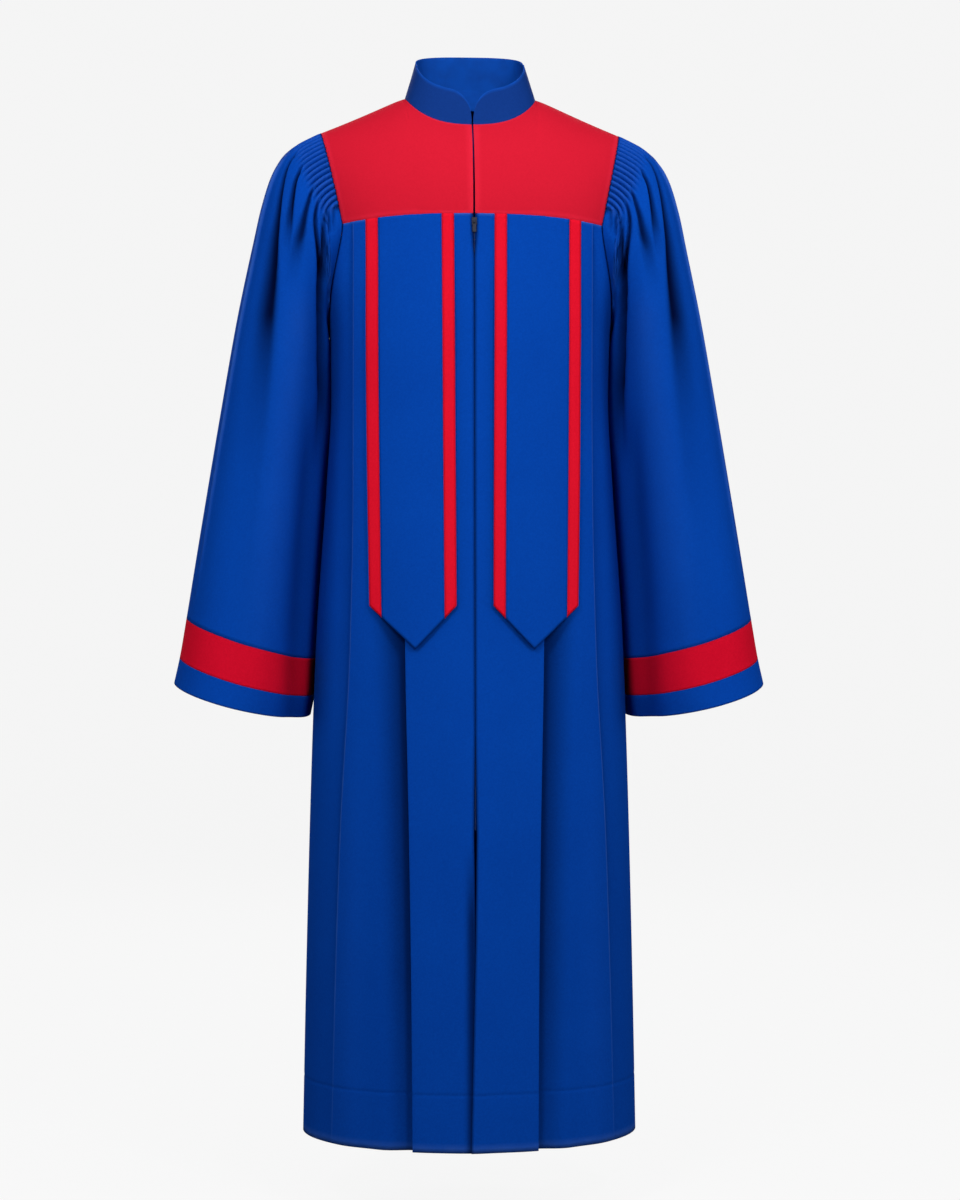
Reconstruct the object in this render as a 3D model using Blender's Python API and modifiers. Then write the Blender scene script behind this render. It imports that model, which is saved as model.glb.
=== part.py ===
"""Choir robe with a contrasting yoke, fluted bell sleeves, two hanging tabs and a front zip.

The robe keeps the hollow form that it has when it is worn. Every piece of cloth is a wall through
rows of points that are worked out from the sizes below, and the pieces stand a seam's width apart.
+X is the wearer's left, +Y the back and +Z up. The origin is at the base of the neck, level with
the sides of the neckline. Lengths are metres, and a drop is the distance below the origin.
"""

import math
from collections import namedtuple
from functools import lru_cache

import bmesh
import bpy
from mathutils import Vector

FRONT = -1
BACK = 1
LEFT = 1
RIGHT = -1
SIDE_NAMES = {LEFT: "left", RIGHT: "right"}
RIGHT_ANGLE = math.pi / 2
SHARP_ANGLE = math.radians(50.0)

# Points inside the robe, from which the skin of each piece faces away
NECK_INSIDE = Vector((0.0, 0.0, -0.02))
YOKE_INSIDE = Vector((0.0, 0.0, -0.20))
CHEST_INSIDE = Vector((0.0, 0.0, -0.40))
BODY_INSIDE = Vector((0.0, 0.0, -0.70))
SLEEVE_INSIDE = Vector((0.235, 0.0, -0.30))
CUFF_INSIDE = Vector((0.285, -0.005, -0.72))

# Cloth thicknesses and the spaces between pieces
CLOTH = 0.0012
COLLAR_CLOTH = 0.0018
LINING_CLOTH = 0.001
TAPE_CLOTH = 0.0008
SEAM_GAP = 0.0003
ARMHOLE_GAP = 0.0008
SIDE_SEAM_GAP = 0.0010
SHOULDER_SEAM_GAP = 0.0008
SLEEVE_SEAM_GAP = 0.0005
BACKING_GAP = 0.0005
COLLAR_SEAM_GAP = 0.0005
TAB_SEAM_GAP = 0.0005
LINING_GAP = 0.0008
LINING_MARGIN = 0.0036

# Body of the robe, by sections from the yoke seam to the hem
BodySection = namedtuple("BodySection", "drop half_width front_depth back_depth squareness")
BODY_SECTIONS = (
    BodySection(drop=0.158, half_width=0.1865, front_depth=0.1180, back_depth=0.120, squareness=2.80),
    BodySection(drop=0.230, half_width=0.1850, front_depth=0.1215, back_depth=0.122, squareness=2.70),
    BodySection(drop=0.300, half_width=0.1790, front_depth=0.1245, back_depth=0.120, squareness=2.60),
    BodySection(drop=0.380, half_width=0.1770, front_depth=0.1265, back_depth=0.118, squareness=2.50),
    BodySection(drop=0.480, half_width=0.1820, front_depth=0.1290, back_depth=0.120, squareness=2.45),
    BodySection(drop=0.690, half_width=0.1960, front_depth=0.1370, back_depth=0.131, squareness=2.30),
    BodySection(drop=0.870, half_width=0.2025, front_depth=0.1440, back_depth=0.141, squareness=2.20),
    BodySection(drop=1.120, half_width=0.2088, front_depth=0.1545, back_depth=0.154, squareness=2.05),
    BodySection(drop=1.310, half_width=0.2125, front_depth=0.1620, back_depth=0.162, squareness=2.00),
)
HEM_DROP = 1.310
LOWER_ROW_DROPS = (0.38, 0.50, 0.65, 0.80, 0.918, 1.05, 1.18, HEM_DROP)

# Neckline, in plan, and the shoulder line
NECK_HALF_WIDTH = 0.083
NECK_DEPTHS = {FRONT: 0.075, BACK: 0.058}
NECK_SQUARENESS = {FRONT: 3.2, BACK: 2.8}
NECK_STEPS = 8
NECK_CENTRE_CROWDING = 1.3
SHOULDER_HALF_WIDTH = 0.190
SHOULDER_STEPS = 4
SHOULDER_SLOPE = 0.50
SHOULDER_EASE = 0.55
SHOULDER_ROUNDING = 0.012
NECK_SIDE_LIFT = 0.006
BACK_NECK_RISE = 0.047
FRONT_NECK_DIP = 0.010
NECK_BUMP_POWER = 1.5

# Yoke seam and the armhole
YOKE_CORNER_X = 0.162
YOKE_SEAM_DROP = 0.1584
YOKE_CORNER_DIP = 0.0088
YOKE_ROUNDNESS = {FRONT: 1.95, BACK: 2.0}
YOKE_STEPS = 7
UNDERARM_DROP = 0.300
ARMHOLE_ROUNDNESS = 1.5
ARMHOLE_STEPS = 6

# Pleats of the fronts and the back: the inner one is folded, the outer one is a pressed step
PleatLine = namedtuple("PleatLine", "drop inner_x outer_x outer_strength")
PLEAT_LINES = (
    PleatLine(drop=0.158, inner_x=0.0880, outer_x=0.1495, outer_strength=1.0),
    PleatLine(drop=0.510, inner_x=0.0862, outer_x=0.1500, outer_strength=1.0),
    PleatLine(drop=0.690, inner_x=0.0850, outer_x=0.1535, outer_strength=0.9),
    PleatLine(drop=0.920, inner_x=0.0806, outer_x=0.1650, outer_strength=0.5),
    PleatLine(drop=1.120, inner_x=0.0778, outer_x=0.1715, outer_strength=0.15),
    PleatLine(drop=1.310, inner_x=0.0765, outer_x=0.1760, outer_strength=0.0),
)
PLEAT_UNDERLAY = 0.016
PLEAT_AIR = 0.0006
PLEAT_RELEASE = 0.024
PLEAT_FOOT = 0.004
OUTER_PLEAT_DEPTH = 0.0035
OUTER_PLEAT_WIDTH = 0.0012
PLEAT_RELEASE_DEPTH = 0.0005
CENTRE_PANEL_SHARES = (0.35, 0.70)
SIDE_PANEL_SHARES = (0.30, 0.62, 1.0)
SIDE_PANEL_FADE = 1.5

# Front closure: half the opening, and how far the left front laps over the right below the zip
Closure = namedtuple("Closure", "drop half_gap lap lift")
CLOSURES = (
    Closure(drop=0.0400, half_gap=0.0011, lap=0.0, lift=0.0),
    Closure(drop=0.1540, half_gap=0.0014, lap=0.0, lift=0.0),
    Closure(drop=0.1583, half_gap=0.0037, lap=0.0, lift=0.0),
    Closure(drop=0.1830, half_gap=0.0036, lap=0.0, lift=0.0),
    Closure(drop=0.2130, half_gap=0.0004, lap=0.0, lift=0.0),
    Closure(drop=0.8000, half_gap=0.0004, lap=0.0, lift=0.0),
    Closure(drop=0.9180, half_gap=0.0020, lap=0.0, lift=0.0),
    Closure(drop=1.0500, half_gap=0.0004, lap=0.0, lift=0.0022),
    Closure(drop=1.1800, half_gap=0.0004, lap=0.003, lift=0.0022),
    Closure(drop=1.3100, half_gap=0.0004, lap=0.006, lift=0.0022),
)
ZIP_END_DROP = 0.918
YOKE_GAP_DROP = 0.154

# Collar
COLLAR_FRONT_HEIGHT = 0.045
COLLAR_SIDE_HEIGHT = 0.0475
COLLAR_BACK_RIM = 0.067
COLLAR_RIM_FALL = 0.0162
COLLAR_RIM_SQUARENESS = 4.2
COLLAR_LEAN_SIDE = 0.014
COLLAR_LEAN_ENDS = {FRONT: 0.008, BACK: 0.007}
COLLAR_FRONT_EDGE = 0.009
COLLAR_CORNER_LENGTH = 0.034
COLLAR_CORNER_ROUNDNESS = 2.2
COLLAR_ROWS = 3
COLLAR_CORNER_SPLITS = 3

# Sleeves, by rings from the armhole to the cuff, on the wearer's left
SleeveRing = namedtuple(
    "SleeveRing", "outer_x outer_drop inner_x inner_drop inner_back half_depth armhole_pull flute"
)
SLEEVE_RINGS = (
    SleeveRing(0.1900, 0.0455, 0.1790, 0.3000, 0.000, 0.0790, 1.00, 0.0015),
    SleeveRing(0.2040, 0.0512, 0.1822, 0.3045, 0.005, 0.0850, 0.72, 0.0019),
    SleeveRing(0.2190, 0.0580, 0.1838, 0.3110, 0.014, 0.0900, 0.42, 0.0018),
    SleeveRing(0.2350, 0.0690, 0.1825, 0.3215, 0.028, 0.0950, 0.18, 0.0006),
    SleeveRing(0.2516, 0.0943, 0.1780, 0.3450, 0.045, 0.0980, 0.06, 0.0),
    SleeveRing(0.2650, 0.1350, 0.1752, 0.3750, 0.054, 0.0990, 0.0, 0.0),
    SleeveRing(0.2761, 0.1843, 0.1745, 0.4150, 0.058, 0.0990, 0.0, 0.0),
    SleeveRing(0.2950, 0.2740, 0.1772, 0.4720, 0.058, 0.1000, 0.0, 0.0),
    SleeveRing(0.3181, 0.4058, 0.1828, 0.5550, 0.056, 0.1030, 0.0, 0.0),
    SleeveRing(0.3437, 0.5594, 0.1905, 0.6550, 0.054, 0.1090, 0.0, 0.0),
    SleeveRing(0.3596, 0.6577, 0.1942, 0.7086, 0.052, 0.1120, 0.0, 0.0),
    SleeveRing(0.3681, 0.7076, 0.1980, 0.7556, 0.050, 0.1145, 0.0, 0.0),
    SleeveRing(0.3752, 0.7398, 0.2030, 0.7822, 0.050, 0.1160, 0.0, 0.0),
)
FLUTED_RINGS = (0, 1, 2)
PLAIN_RINGS = (3, 4, 5, 6, 7, 8, 9, 10)
BAND_TOP_RING = 10
BAND_BOTTOM_RING = 11
CUFF_RING = 12
SLEEVE_FORWARD = 0.010
CUFF_FRONT_DIP = 0.011
FLUTE_PITCH = 0.0062
FLUTES_EACH_WAY = 19
POINTS_A_FLUTE = 3
PLAIN_RING_POINTS = 48

# Soft folds of the sleeve: where each starts and ends round the ring, in degrees from its top
SleeveFold = namedtuple("SleeveFold", "head_angle cuff_angle first_ring last_ring half_angle depth")
SLEEVE_FOLDS = (
    SleeveFold(head_angle=38, cuff_angle=78, first_ring=2.5, last_ring=9.0, half_angle=13, depth=-0.009),
    SleeveFold(head_angle=68, cuff_angle=104, first_ring=2.5, last_ring=10.0, half_angle=15, depth=0.004),
    SleeveFold(head_angle=112, cuff_angle=142, first_ring=1.5, last_ring=9.5, half_angle=16, depth=-0.010),
    SleeveFold(head_angle=-38, cuff_angle=-80, first_ring=2.5, last_ring=9.0, half_angle=13, depth=-0.009),
    SleeveFold(head_angle=-70, cuff_angle=-106, first_ring=2.5, last_ring=10.0, half_angle=15, depth=0.004),
    SleeveFold(head_angle=-112, cuff_angle=-142, first_ring=1.5, last_ring=9.5, half_angle=16, depth=-0.010),
)

# Tabs that hang from the yoke seam, on each side of the closure
TAB_INNER_X = {"top": 0.0253, "bottom": 0.0226}
TAB_OUTER_X = {"top": 0.1335, "bottom": 0.1275}
TAB_TIP_X = 0.0726
TAB_CORNER_DROP = 0.643
TAB_TIP_DROP = 0.696
TAB_BAND_WIDTH = 0.0150
TAB_STAND_OFF_TOP = 0.0018
TAB_STAND_OFF = 0.0045
TAB_ROWS = 12

# Zip
TAPE_INNER_X = 0.0012
TAPE_WIDTH = 0.0125
CHAIN_HALF_WIDTH = 0.0009
CHAIN_THICKNESS = 0.0012
CHAIN_ROW_DROPS = (0.189, 0.220, 0.260, UNDERARM_DROP)
SLIDER_TOP_DROP = 0.1637
SLIDER_LENGTH = 0.0088
SLIDER_WIDTH = 0.0064
SLIDER_PLATE = 0.0012
SLIDER_PROUD = 0.0008
SLIDER_REAR_GAP = 0.0012
SLIDER_POST_WIDTH = 0.0012
SLIDER_POST_LENGTH = 0.0030
BRIDGE_WIDTH = 0.0016
BRIDGE_LENGTH = 0.0044
BRIDGE_HEIGHT = 0.0024
BRIDGE_BAR = 0.0008
PULL_AXLE = 0.0009
PULL_WIDTH = 0.0046
PULL_ARM = 0.0011
PULL_WINDOW = 0.0034
PULL_LENGTH = 0.0138
PULL_THICKNESS = 0.0010

# Colours, as fractions of full light, and the finish of each stuff
Stuff = namedtuple("Stuff", "name colour roughness metallic")
BLUE_CLOTH = Stuff("blue_cloth", (0.0035, 0.048, 0.333), 0.72, 0.0)
RED_CLOTH = Stuff("red_cloth", (0.62, 0.013, 0.030), 0.72, 0.0)
BLUE_LINING = Stuff("blue_lining", (0.004, 0.036, 0.22), 0.65, 0.0)
BLUE_TAPE = Stuff("blue_tape", (0.003, 0.030, 0.20), 0.8, 0.0)
BLUE_COIL = Stuff("blue_coil", (0.003, 0.022, 0.14), 0.45, 0.0)
DARK_METAL = Stuff("dark_metal", (0.030, 0.045, 0.10), 0.35, 0.9)


def lerp(start, end, share):
    """Value a share of the way from start to end."""
    return start + (end - start) * share


def ease(share):
    """Share that starts and stops gently, held between nothing and all."""
    held = min(max(share, 0.0), 1.0)
    return held * held * (3.0 - 2.0 * held)


def hermite_slope(before, after):
    """Slope at a table row between two stretches, so that the curve never overshoots."""
    if before * after <= 0.0:
        return 0.0
    return 2.0 * before * after / (before + after)


def smooth_between(keys, values, at):
    """Smooth value at a key, through every pair of key and value."""
    at = min(max(at, keys[0]), keys[-1])
    row = max(index for index in range(len(keys) - 1) if keys[index] <= at)
    slopes = [
        (values[i + 1] - values[i]) / (keys[i + 1] - keys[i]) for i in range(len(keys) - 1)
    ]
    start_slope = slopes[row] if row == 0 else hermite_slope(slopes[row - 1], slopes[row])
    end_slope = slopes[row] if row == len(slopes) - 1 else hermite_slope(slopes[row], slopes[row + 1])
    width = keys[row + 1] - keys[row]
    t = (at - keys[row]) / width
    rise = t * t * (3.0 - 2.0 * t)
    start_lean = t * (1.0 - t) * (1.0 - t) * width
    end_lean = t * t * (t - 1.0) * width
    return lerp(values[row], values[row + 1], rise) + start_slope * start_lean + end_slope * end_lean


@lru_cache(maxsize=None)
def table_row(table, drop):
    """Row of a table of drops, read smoothly at any drop."""
    keys = [row.drop for row in table]
    columns = table[0]._fields[1:]
    values = [smooth_between(keys, [getattr(row, name) for row in table], drop) for name in columns]
    return type(table[0])(drop, *values)


def straight_row(table, drop):
    """Row of a table of drops, read along straight lines between its rows."""
    drop = min(max(drop, table[0].drop), table[-1].drop)
    first = max(index for index in range(len(table) - 1) if table[index].drop <= drop)
    start, end = table[first], table[first + 1]
    share = (drop - start.drop) / (end.drop - start.drop)
    return type(start)(*(lerp(a, b, share) for a, b in zip(start, end)))


def signed_power(value, exponent):
    """Power of a size that keeps the value's sign."""
    return math.copysign(abs(value) ** exponent, value)


def body_section(drop):
    """Section of the body at a drop."""
    return table_row(BODY_SECTIONS, round(drop, 6))


def angle_at_x(x, drop):
    """Angle round the body's section, from its centre line, where it is x wide."""
    section = body_section(drop)
    share = min(abs(x) / section.half_width, 1.0)
    return math.copysign(math.asin(share ** (section.squareness / 2.0)), x)


def body_point(side, face, angle, drop, inward=0.0):
    """Point of the body's outer skin, or one moved inward from it, square to the section."""
    section = body_section(drop)
    depth = section.front_depth if face == FRONT else section.back_depth
    power = 2.0 / section.squareness
    across = signed_power(math.sin(angle), power)
    along = max(math.cos(angle), 0.0) ** power
    lean = section.squareness - 1.0
    normal = Vector((
        signed_power(across, lean) / section.half_width,
        along ** lean / depth,
    )).normalized()
    x = section.half_width * across - inward * normal.x
    y = depth * along - inward * normal.y
    return Vector((side * x, face * y, -drop))


def yoke_seam_drop(x):
    """Drop of the yoke seam, which dips a little towards the armholes."""
    return YOKE_SEAM_DROP + YOKE_CORNER_DIP * (x / YOKE_CORNER_X) ** 2


def ridge_height(face, x):
    """Height of the shoulder line, carried on over the neck as the yoke's cut would have it."""
    past_neck = abs(x) - NECK_HALF_WIDTH
    run = 0.5 * (past_neck + math.hypot(past_neck, SHOULDER_ROUNDING))
    bump = max(1.0 - (x / NECK_HALF_WIDTH) ** 2, 0.0) ** NECK_BUMP_POWER
    rise = BACK_NECK_RISE * bump if face == BACK else -FRONT_NECK_DIP * bump
    return NECK_SIDE_LIFT - SHOULDER_SLOPE * run + SHOULDER_EASE * run * run + rise


def neck_plan(face, step, steps=NECK_STEPS):
    """Distances out and along of a point of the neckline, from its centre to its side."""
    angle = RIGHT_ANGLE * (step / steps) ** NECK_CENTRE_CROWDING
    power = 2.0 / NECK_SQUARENESS[face]
    return (
        NECK_HALF_WIDTH * math.sin(angle) ** power,
        NECK_DEPTHS[face] * max(math.cos(angle), 0.0) ** power,
    )


def yoke_point(face, side, top_x, top_y, share):
    """Point of the yoke a share of the way down from its top edge to its seam with the body."""
    seam_x = top_x * YOKE_CORNER_X / SHOULDER_HALF_WIDTH
    seam_drop = yoke_seam_drop(seam_x)
    seam = body_point(LEFT, face, angle_at_x(seam_x, seam_drop), seam_drop)
    depth = abs(seam.y)
    power = 2.0 / YOKE_ROUNDNESS[face]
    start = math.asin(min(top_y / depth, 1.0) ** (1.0 / power))
    angle = lerp(start, RIGHT_ANGLE, share)
    fall = max(math.cos(angle), 0.0) ** power
    x = lerp(top_x, seam_x, 1.0 - fall / math.cos(start) ** power)
    height = lerp(-seam_drop, ridge_height(face, x), fall)
    return Vector((side * x, face * depth * math.sin(angle) ** power, height))


def yoke_top_edge(face):
    """Out and along distances of the yoke's top edge, round the neck and out on the shoulder."""
    edge = [neck_plan(face, step) for step in range(NECK_STEPS + 1)]
    for step in range(1, SHOULDER_STEPS + 1):
        edge.append((lerp(NECK_HALF_WIDTH, SHOULDER_HALF_WIDTH, step / SHOULDER_STEPS), 0.0))
    return edge


def yoke_grid(face, side):
    """Rows of the yoke's points from its top edge down, each from the centre to the armhole."""
    return [
        [yoke_point(face, side, x, y, row / YOKE_STEPS) for x, y in yoke_top_edge(face)]
        for row in range(YOKE_STEPS + 1)
    ]


def armhole_drop(step):
    """Drop of a row of the body's armhole edge, from the yoke corner to the underarm."""
    corner = yoke_seam_drop(YOKE_CORNER_X)
    angle = RIGHT_ANGLE * step / ARMHOLE_STEPS
    return lerp(corner, UNDERARM_DROP, math.sin(angle) ** (2.0 / ARMHOLE_ROUNDNESS))


def armhole_angle(face, step):
    """Angle round the body's section where its armhole edge passes a row."""
    corner_drop = yoke_seam_drop(YOKE_CORNER_X)
    corner = body_point(LEFT, face, angle_at_x(YOKE_CORNER_X, corner_drop), corner_drop)
    angle = RIGHT_ANGLE * step / ARMHOLE_STEPS
    along = abs(corner.y) * max(math.cos(angle), 0.0) ** (2.0 / ARMHOLE_ROUNDNESS)
    section = body_section(armhole_drop(step))
    depth = section.front_depth if face == FRONT else section.back_depth
    return math.acos(min(along / depth, 1.0) ** (section.squareness / 2.0))


@lru_cache(maxsize=None)
def armhole_knots():
    """Turns and points of the left armhole: top, down the front, underarm and up the back."""
    knots = []
    for face in (FRONT, BACK):
        half = []
        for step in range(YOKE_STEPS):
            point = yoke_point(face, LEFT, SHOULDER_HALF_WIDTH, 0.0, step / YOKE_STEPS)
            half.append((90.0 * step / YOKE_STEPS, point))
        for step in range(ARMHOLE_STEPS + 1):
            point = body_point(LEFT, face, armhole_angle(face, step), armhole_drop(step))
            half.append((90.0 + 90.0 * step / ARMHOLE_STEPS, point))
        if face == FRONT:
            knots.extend(half)
        else:
            knots.extend((360.0 - turn, point) for turn, point in reversed(half[:-1]))
    return tuple(knots)


def armhole_point(turn):
    """Point of the left armhole edge at a turn, along straight lines between its knots."""
    knots = armhole_knots()
    turn = turn % 360.0
    index = max(i for i in range(len(knots) - 1) if knots[i][0] <= turn + 1e-9)
    (start, first), (end, last) = knots[index], knots[index + 1]
    return first.lerp(last, (turn - start) / (end - start))


def turn_at_arc(arc):
    """Turn round the armhole where the edge is an arc length down the front from its top."""
    knots = armhole_knots()
    for (start, first), (end, last) in zip(knots, knots[1:]):
        length = (last - first).length
        if arc <= length:
            return lerp(start, end, arc / length)
        arc -= length
    return knots[-1][0]


def move_edge(points, neighbours, gap):
    """Points of an edge, each moved a gap towards its neighbour inside the piece."""
    return [point + (near - point).normalized() * gap for point, near in zip(points, neighbours)]


def trim(rows, top=0.0, bottom=0.0, first=0.0, last=0.0):
    """Rows of points with each edge drawn in by its seam gap."""
    rows = [list(row) for row in rows]
    if top:
        rows[0] = move_edge(rows[0], rows[1], top)
    if bottom:
        rows[-1] = move_edge(rows[-1], rows[-2], bottom)
    for row in rows:
        if first:
            row[0] = move_edge(row[:1], row[1:2], first)[0]
        if last:
            row[-1] = move_edge(row[-1:], row[-2:-1], last)[0]
    return rows


def make_material(stuff):
    """Plain material of a stuff, shared by the pieces made of it."""
    material = bpy.data.materials.get(stuff.name)
    if material is None:
        material = bpy.data.materials.new(stuff.name)
        material.use_nodes = True
        shader = material.node_tree.nodes["Principled BSDF"]
        shader.inputs["Base Color"].default_value = (*stuff.colour, 1.0)
        shader.inputs["Roughness"].default_value = stuff.roughness
        shader.inputs["Metallic"].default_value = stuff.metallic
        material.diffuse_color = (*stuff.colour, 1.0)
    return material


def finish_object(name, mesh, stuff, collection):
    """Object of a mesh, in the robe's collection and its own copy of a stuff's material."""
    piece = bpy.data.objects.new(name, mesh)
    collection.objects.link(piece)
    material = make_material(stuff).copy()
    material.name = f"{name}_{stuff.name}"
    mesh.materials.append(material)
    mesh.shade_smooth()
    mesh.set_sharp_from_angle(angle=SHARP_ANGLE)
    return piece


def strip_faces(first_row, second_row, closed):
    """Faces between two rows of vertices with the same number in each."""
    count = len(first_row)
    for index in range(count if closed else count - 1):
        after = (index + 1) % count
        yield (first_row[index], second_row[index], second_row[after], first_row[after])


def uneven_strip_faces(first_row, first_turns, second_row, second_turns):
    """Triangles between two closed rows whose vertices stand at unlike turns."""
    i = j = 0
    full = 360.0
    while i < len(first_row) or j < len(second_row):
        next_i = first_turns[i + 1] if i + 1 < len(first_row) else full
        next_j = second_turns[j + 1] if j + 1 < len(second_row) else full
        a, b = first_row[i % len(first_row)], second_row[j % len(second_row)]
        if j >= len(second_row) or (i < len(first_row) and next_i <= next_j):
            yield (a, b, first_row[(i + 1) % len(first_row)])
            i += 1
        else:
            yield (a, b, second_row[(j + 1) % len(second_row)])
            j += 1


def cloth_piece(name, rows, stuff, collection, inside, wall=CLOTH, closed=False, turns=None):
    """Wall of cloth through rows of points; its skin faces away from the point inside.

    Rows of unlike counts are joined by triangles, and turns then gives each row's turns.
    """
    mesh = bpy.data.meshes.new(name)
    work = bmesh.new()
    grid = [[work.verts.new(point) for point in row] for row in rows]
    for index, (first_row, second_row) in enumerate(zip(grid, grid[1:])):
        if len(first_row) == len(second_row):
            faces = strip_faces(first_row, second_row, closed)
        else:
            faces = uneven_strip_faces(first_row, turns[index], second_row, turns[index + 1])
        for corners in faces:
            work.faces.new(corners)
    work.normal_update()
    facing = 0.0
    for face in work.faces:
        facing += face.normal.dot(face.calc_center_median() - inside) * face.calc_area()
    if facing < 0.0:
        bmesh.ops.reverse_faces(work, faces=work.faces)
    work.to_mesh(mesh)
    work.free()
    piece = finish_object(name, mesh, stuff, collection)
    solidify = piece.modifiers.new("cloth", "SOLIDIFY")
    solidify.thickness = wall
    solidify.offset = -1.0
    solidify.use_even_offset = True
    solidify.use_quality_normals = True
    return piece


def closure_x(side, drop):
    """Where a front's centre edge stands, from the centre line towards its own side."""
    closure = straight_row(CLOSURES, drop)
    return closure.half_gap - (closure.lap if side == LEFT else 0.0)


def closure_lift(side, drop):
    """How far a front's centre edge stands out over the other front."""
    return straight_row(CLOSURES, drop).lift if side == LEFT else 0.0


def half_panel_columns(side, face, drop, end_angle):
    """Angle and inward depth of each column of half a panel, from the centre to its end."""
    pleats = table_row(PLEAT_LINES, round(drop, 6))
    centre_x = closure_x(side, drop) if face == FRONT else 0.0
    lift = closure_lift(side, drop) if face == FRONT else 0.0
    under = 2.0 * CLOTH + PLEAT_AIR
    foot = under + PLEAT_AIR
    fold_x = pleats.inner_x
    step_x = pleats.outer_x
    step_depth = OUTER_PLEAT_DEPTH * pleats.outer_strength
    flat = [
        (centre_x, -lift),
        *((fold_x * share, 0.0) for share in CENTRE_PANEL_SHARES),
        (fold_x, 0.0),
        (fold_x, under),
        (fold_x - PLEAT_UNDERLAY, under),
        (fold_x - PLEAT_UNDERLAY, foot),
        (fold_x + PLEAT_FOOT, foot),
        (fold_x + PLEAT_RELEASE, PLEAT_RELEASE_DEPTH),
        ((fold_x + PLEAT_RELEASE + step_x) / 2.0, 0.0),
        (step_x, 0.0),
        (step_x + OUTER_PLEAT_WIDTH, step_depth),
    ]
    columns = [(angle_at_x(x, drop), inward) for x, inward in flat]
    start = columns[-1][0]
    for share in SIDE_PANEL_SHARES:
        fade = (1.0 - share) ** SIDE_PANEL_FADE
        columns.append((lerp(start, end_angle, share), step_depth * fade))
    return columns


def half_panel_rows(side, face):
    """Rows of half a panel, from the yoke seam to the hem."""
    rows = []
    corner = yoke_seam_drop(YOKE_CORNER_X)
    for step in range(ARMHOLE_STEPS + 1):
        level = armhole_drop(step)
        end_angle = armhole_angle(face, step)
        fade = 1.0 - step / ARMHOLE_STEPS
        row = []
        for index, (angle, _) in enumerate(half_panel_columns(side, face, level, end_angle)[:-1]):
            x = abs(body_point(LEFT, face, angle, level).x)
            drop = level + (yoke_seam_drop(x) - corner) * fade
            angle, inward = half_panel_columns(side, face, drop, end_angle)[index]
            row.append(body_point(side, face, angle, drop, inward))
        row.append(body_point(side, face, end_angle, level))
        rows.append(row)
    for drop in LOWER_ROW_DROPS:
        columns = half_panel_columns(side, face, drop, RIGHT_ANGLE)
        rows.append([body_point(side, face, angle, drop, inward) for angle, inward in columns])
    return rows


def make_yokes(collection):
    """Front yokes, the back yoke in one piece and its lining."""
    for side in (LEFT, RIGHT):
        rows = yoke_grid(FRONT, side)
        for row in rows:
            row[0].x = side * closure_x(side, min(-row[0].z, YOKE_GAP_DROP))
        rows = trim(rows, bottom=SEAM_GAP)
        top = rows[0]
        for index in range(NECK_STEPS, len(top)):
            top[index] = move_edge([top[index]], [rows[1][index]], SHOULDER_SEAM_GAP / 2.0)[0]
        cloth_piece(f"yoke_front_{SIDE_NAMES[side]}", rows, RED_CLOTH, collection, YOKE_INSIDE)
    right = yoke_grid(BACK, RIGHT)
    left = yoke_grid(BACK, LEFT)
    rows = [list(reversed(first))[:-1] + second for first, second in zip(right, left)]
    lining = inner_rows(rows, CLOTH + LINING_GAP, YOKE_INSIDE)
    rows = trim(rows, bottom=SEAM_GAP)
    for index in range(len(rows[0])):
        if abs(rows[0][index].x) >= NECK_HALF_WIDTH - SEAM_GAP:
            rows[0][index] = move_edge([rows[0][index]], [rows[1][index]], SHOULDER_SEAM_GAP / 2.0)[0]
    cloth_piece("yoke_back", rows, RED_CLOTH, collection, YOKE_INSIDE)
    lining = trim(lining, LINING_MARGIN, LINING_MARGIN, LINING_MARGIN, LINING_MARGIN)
    cloth_piece("yoke_lining", lining, BLUE_LINING, collection, YOKE_INSIDE,
                wall=LINING_CLOTH)


def inner_rows(rows, depth, inside):
    """Rows moved square to their surface, towards the inside."""
    moved = []
    for r, row in enumerate(rows):
        new_row = []
        for c, point in enumerate(row):
            down = rows[min(r + 1, len(rows) - 1)][c] - rows[max(r - 1, 0)][c]
            across = row[min(c + 1, len(row) - 1)] - row[max(c - 1, 0)]
            normal = down.cross(across).normalized()
            if normal.dot(point - inside) < 0.0:
                normal = -normal
            new_row.append(point - normal * depth)
        moved.append(new_row)
    return moved


def make_fronts(collection):
    """Left and right fronts, from the yoke seam to the hem."""
    for side in (LEFT, RIGHT):
        rows = trim(half_panel_rows(side, FRONT), top=SEAM_GAP)
        for row in rows[ARMHOLE_STEPS:]:
            row[-1].y -= SIDE_SEAM_GAP / 2.0
        cloth_piece(f"front_{SIDE_NAMES[side]}", rows, BLUE_CLOTH, collection, BODY_INSIDE)


def make_back(collection):
    """Back in one piece."""
    right = half_panel_rows(RIGHT, BACK)
    left = half_panel_rows(LEFT, BACK)
    rows = [list(reversed(first))[:-1] + second for first, second in zip(right, left)]
    rows = trim(rows, top=SEAM_GAP)
    for row in rows[ARMHOLE_STEPS:]:
        row[0].y += SIDE_SEAM_GAP / 2.0
        row[-1].y += SIDE_SEAM_GAP / 2.0
    cloth_piece("back", rows, BLUE_CLOTH, collection, BODY_INSIDE)


def sleeve_ring(place):
    """Sizes of the sleeve's ring at a place, which counts rings from the armhole."""
    keys = list(range(len(SLEEVE_RINGS)))
    names = SleeveRing._fields
    values = [smooth_between(keys, [getattr(ring, name) for ring in SLEEVE_RINGS], place) for name in names]
    return SleeveRing(*values)


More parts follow.
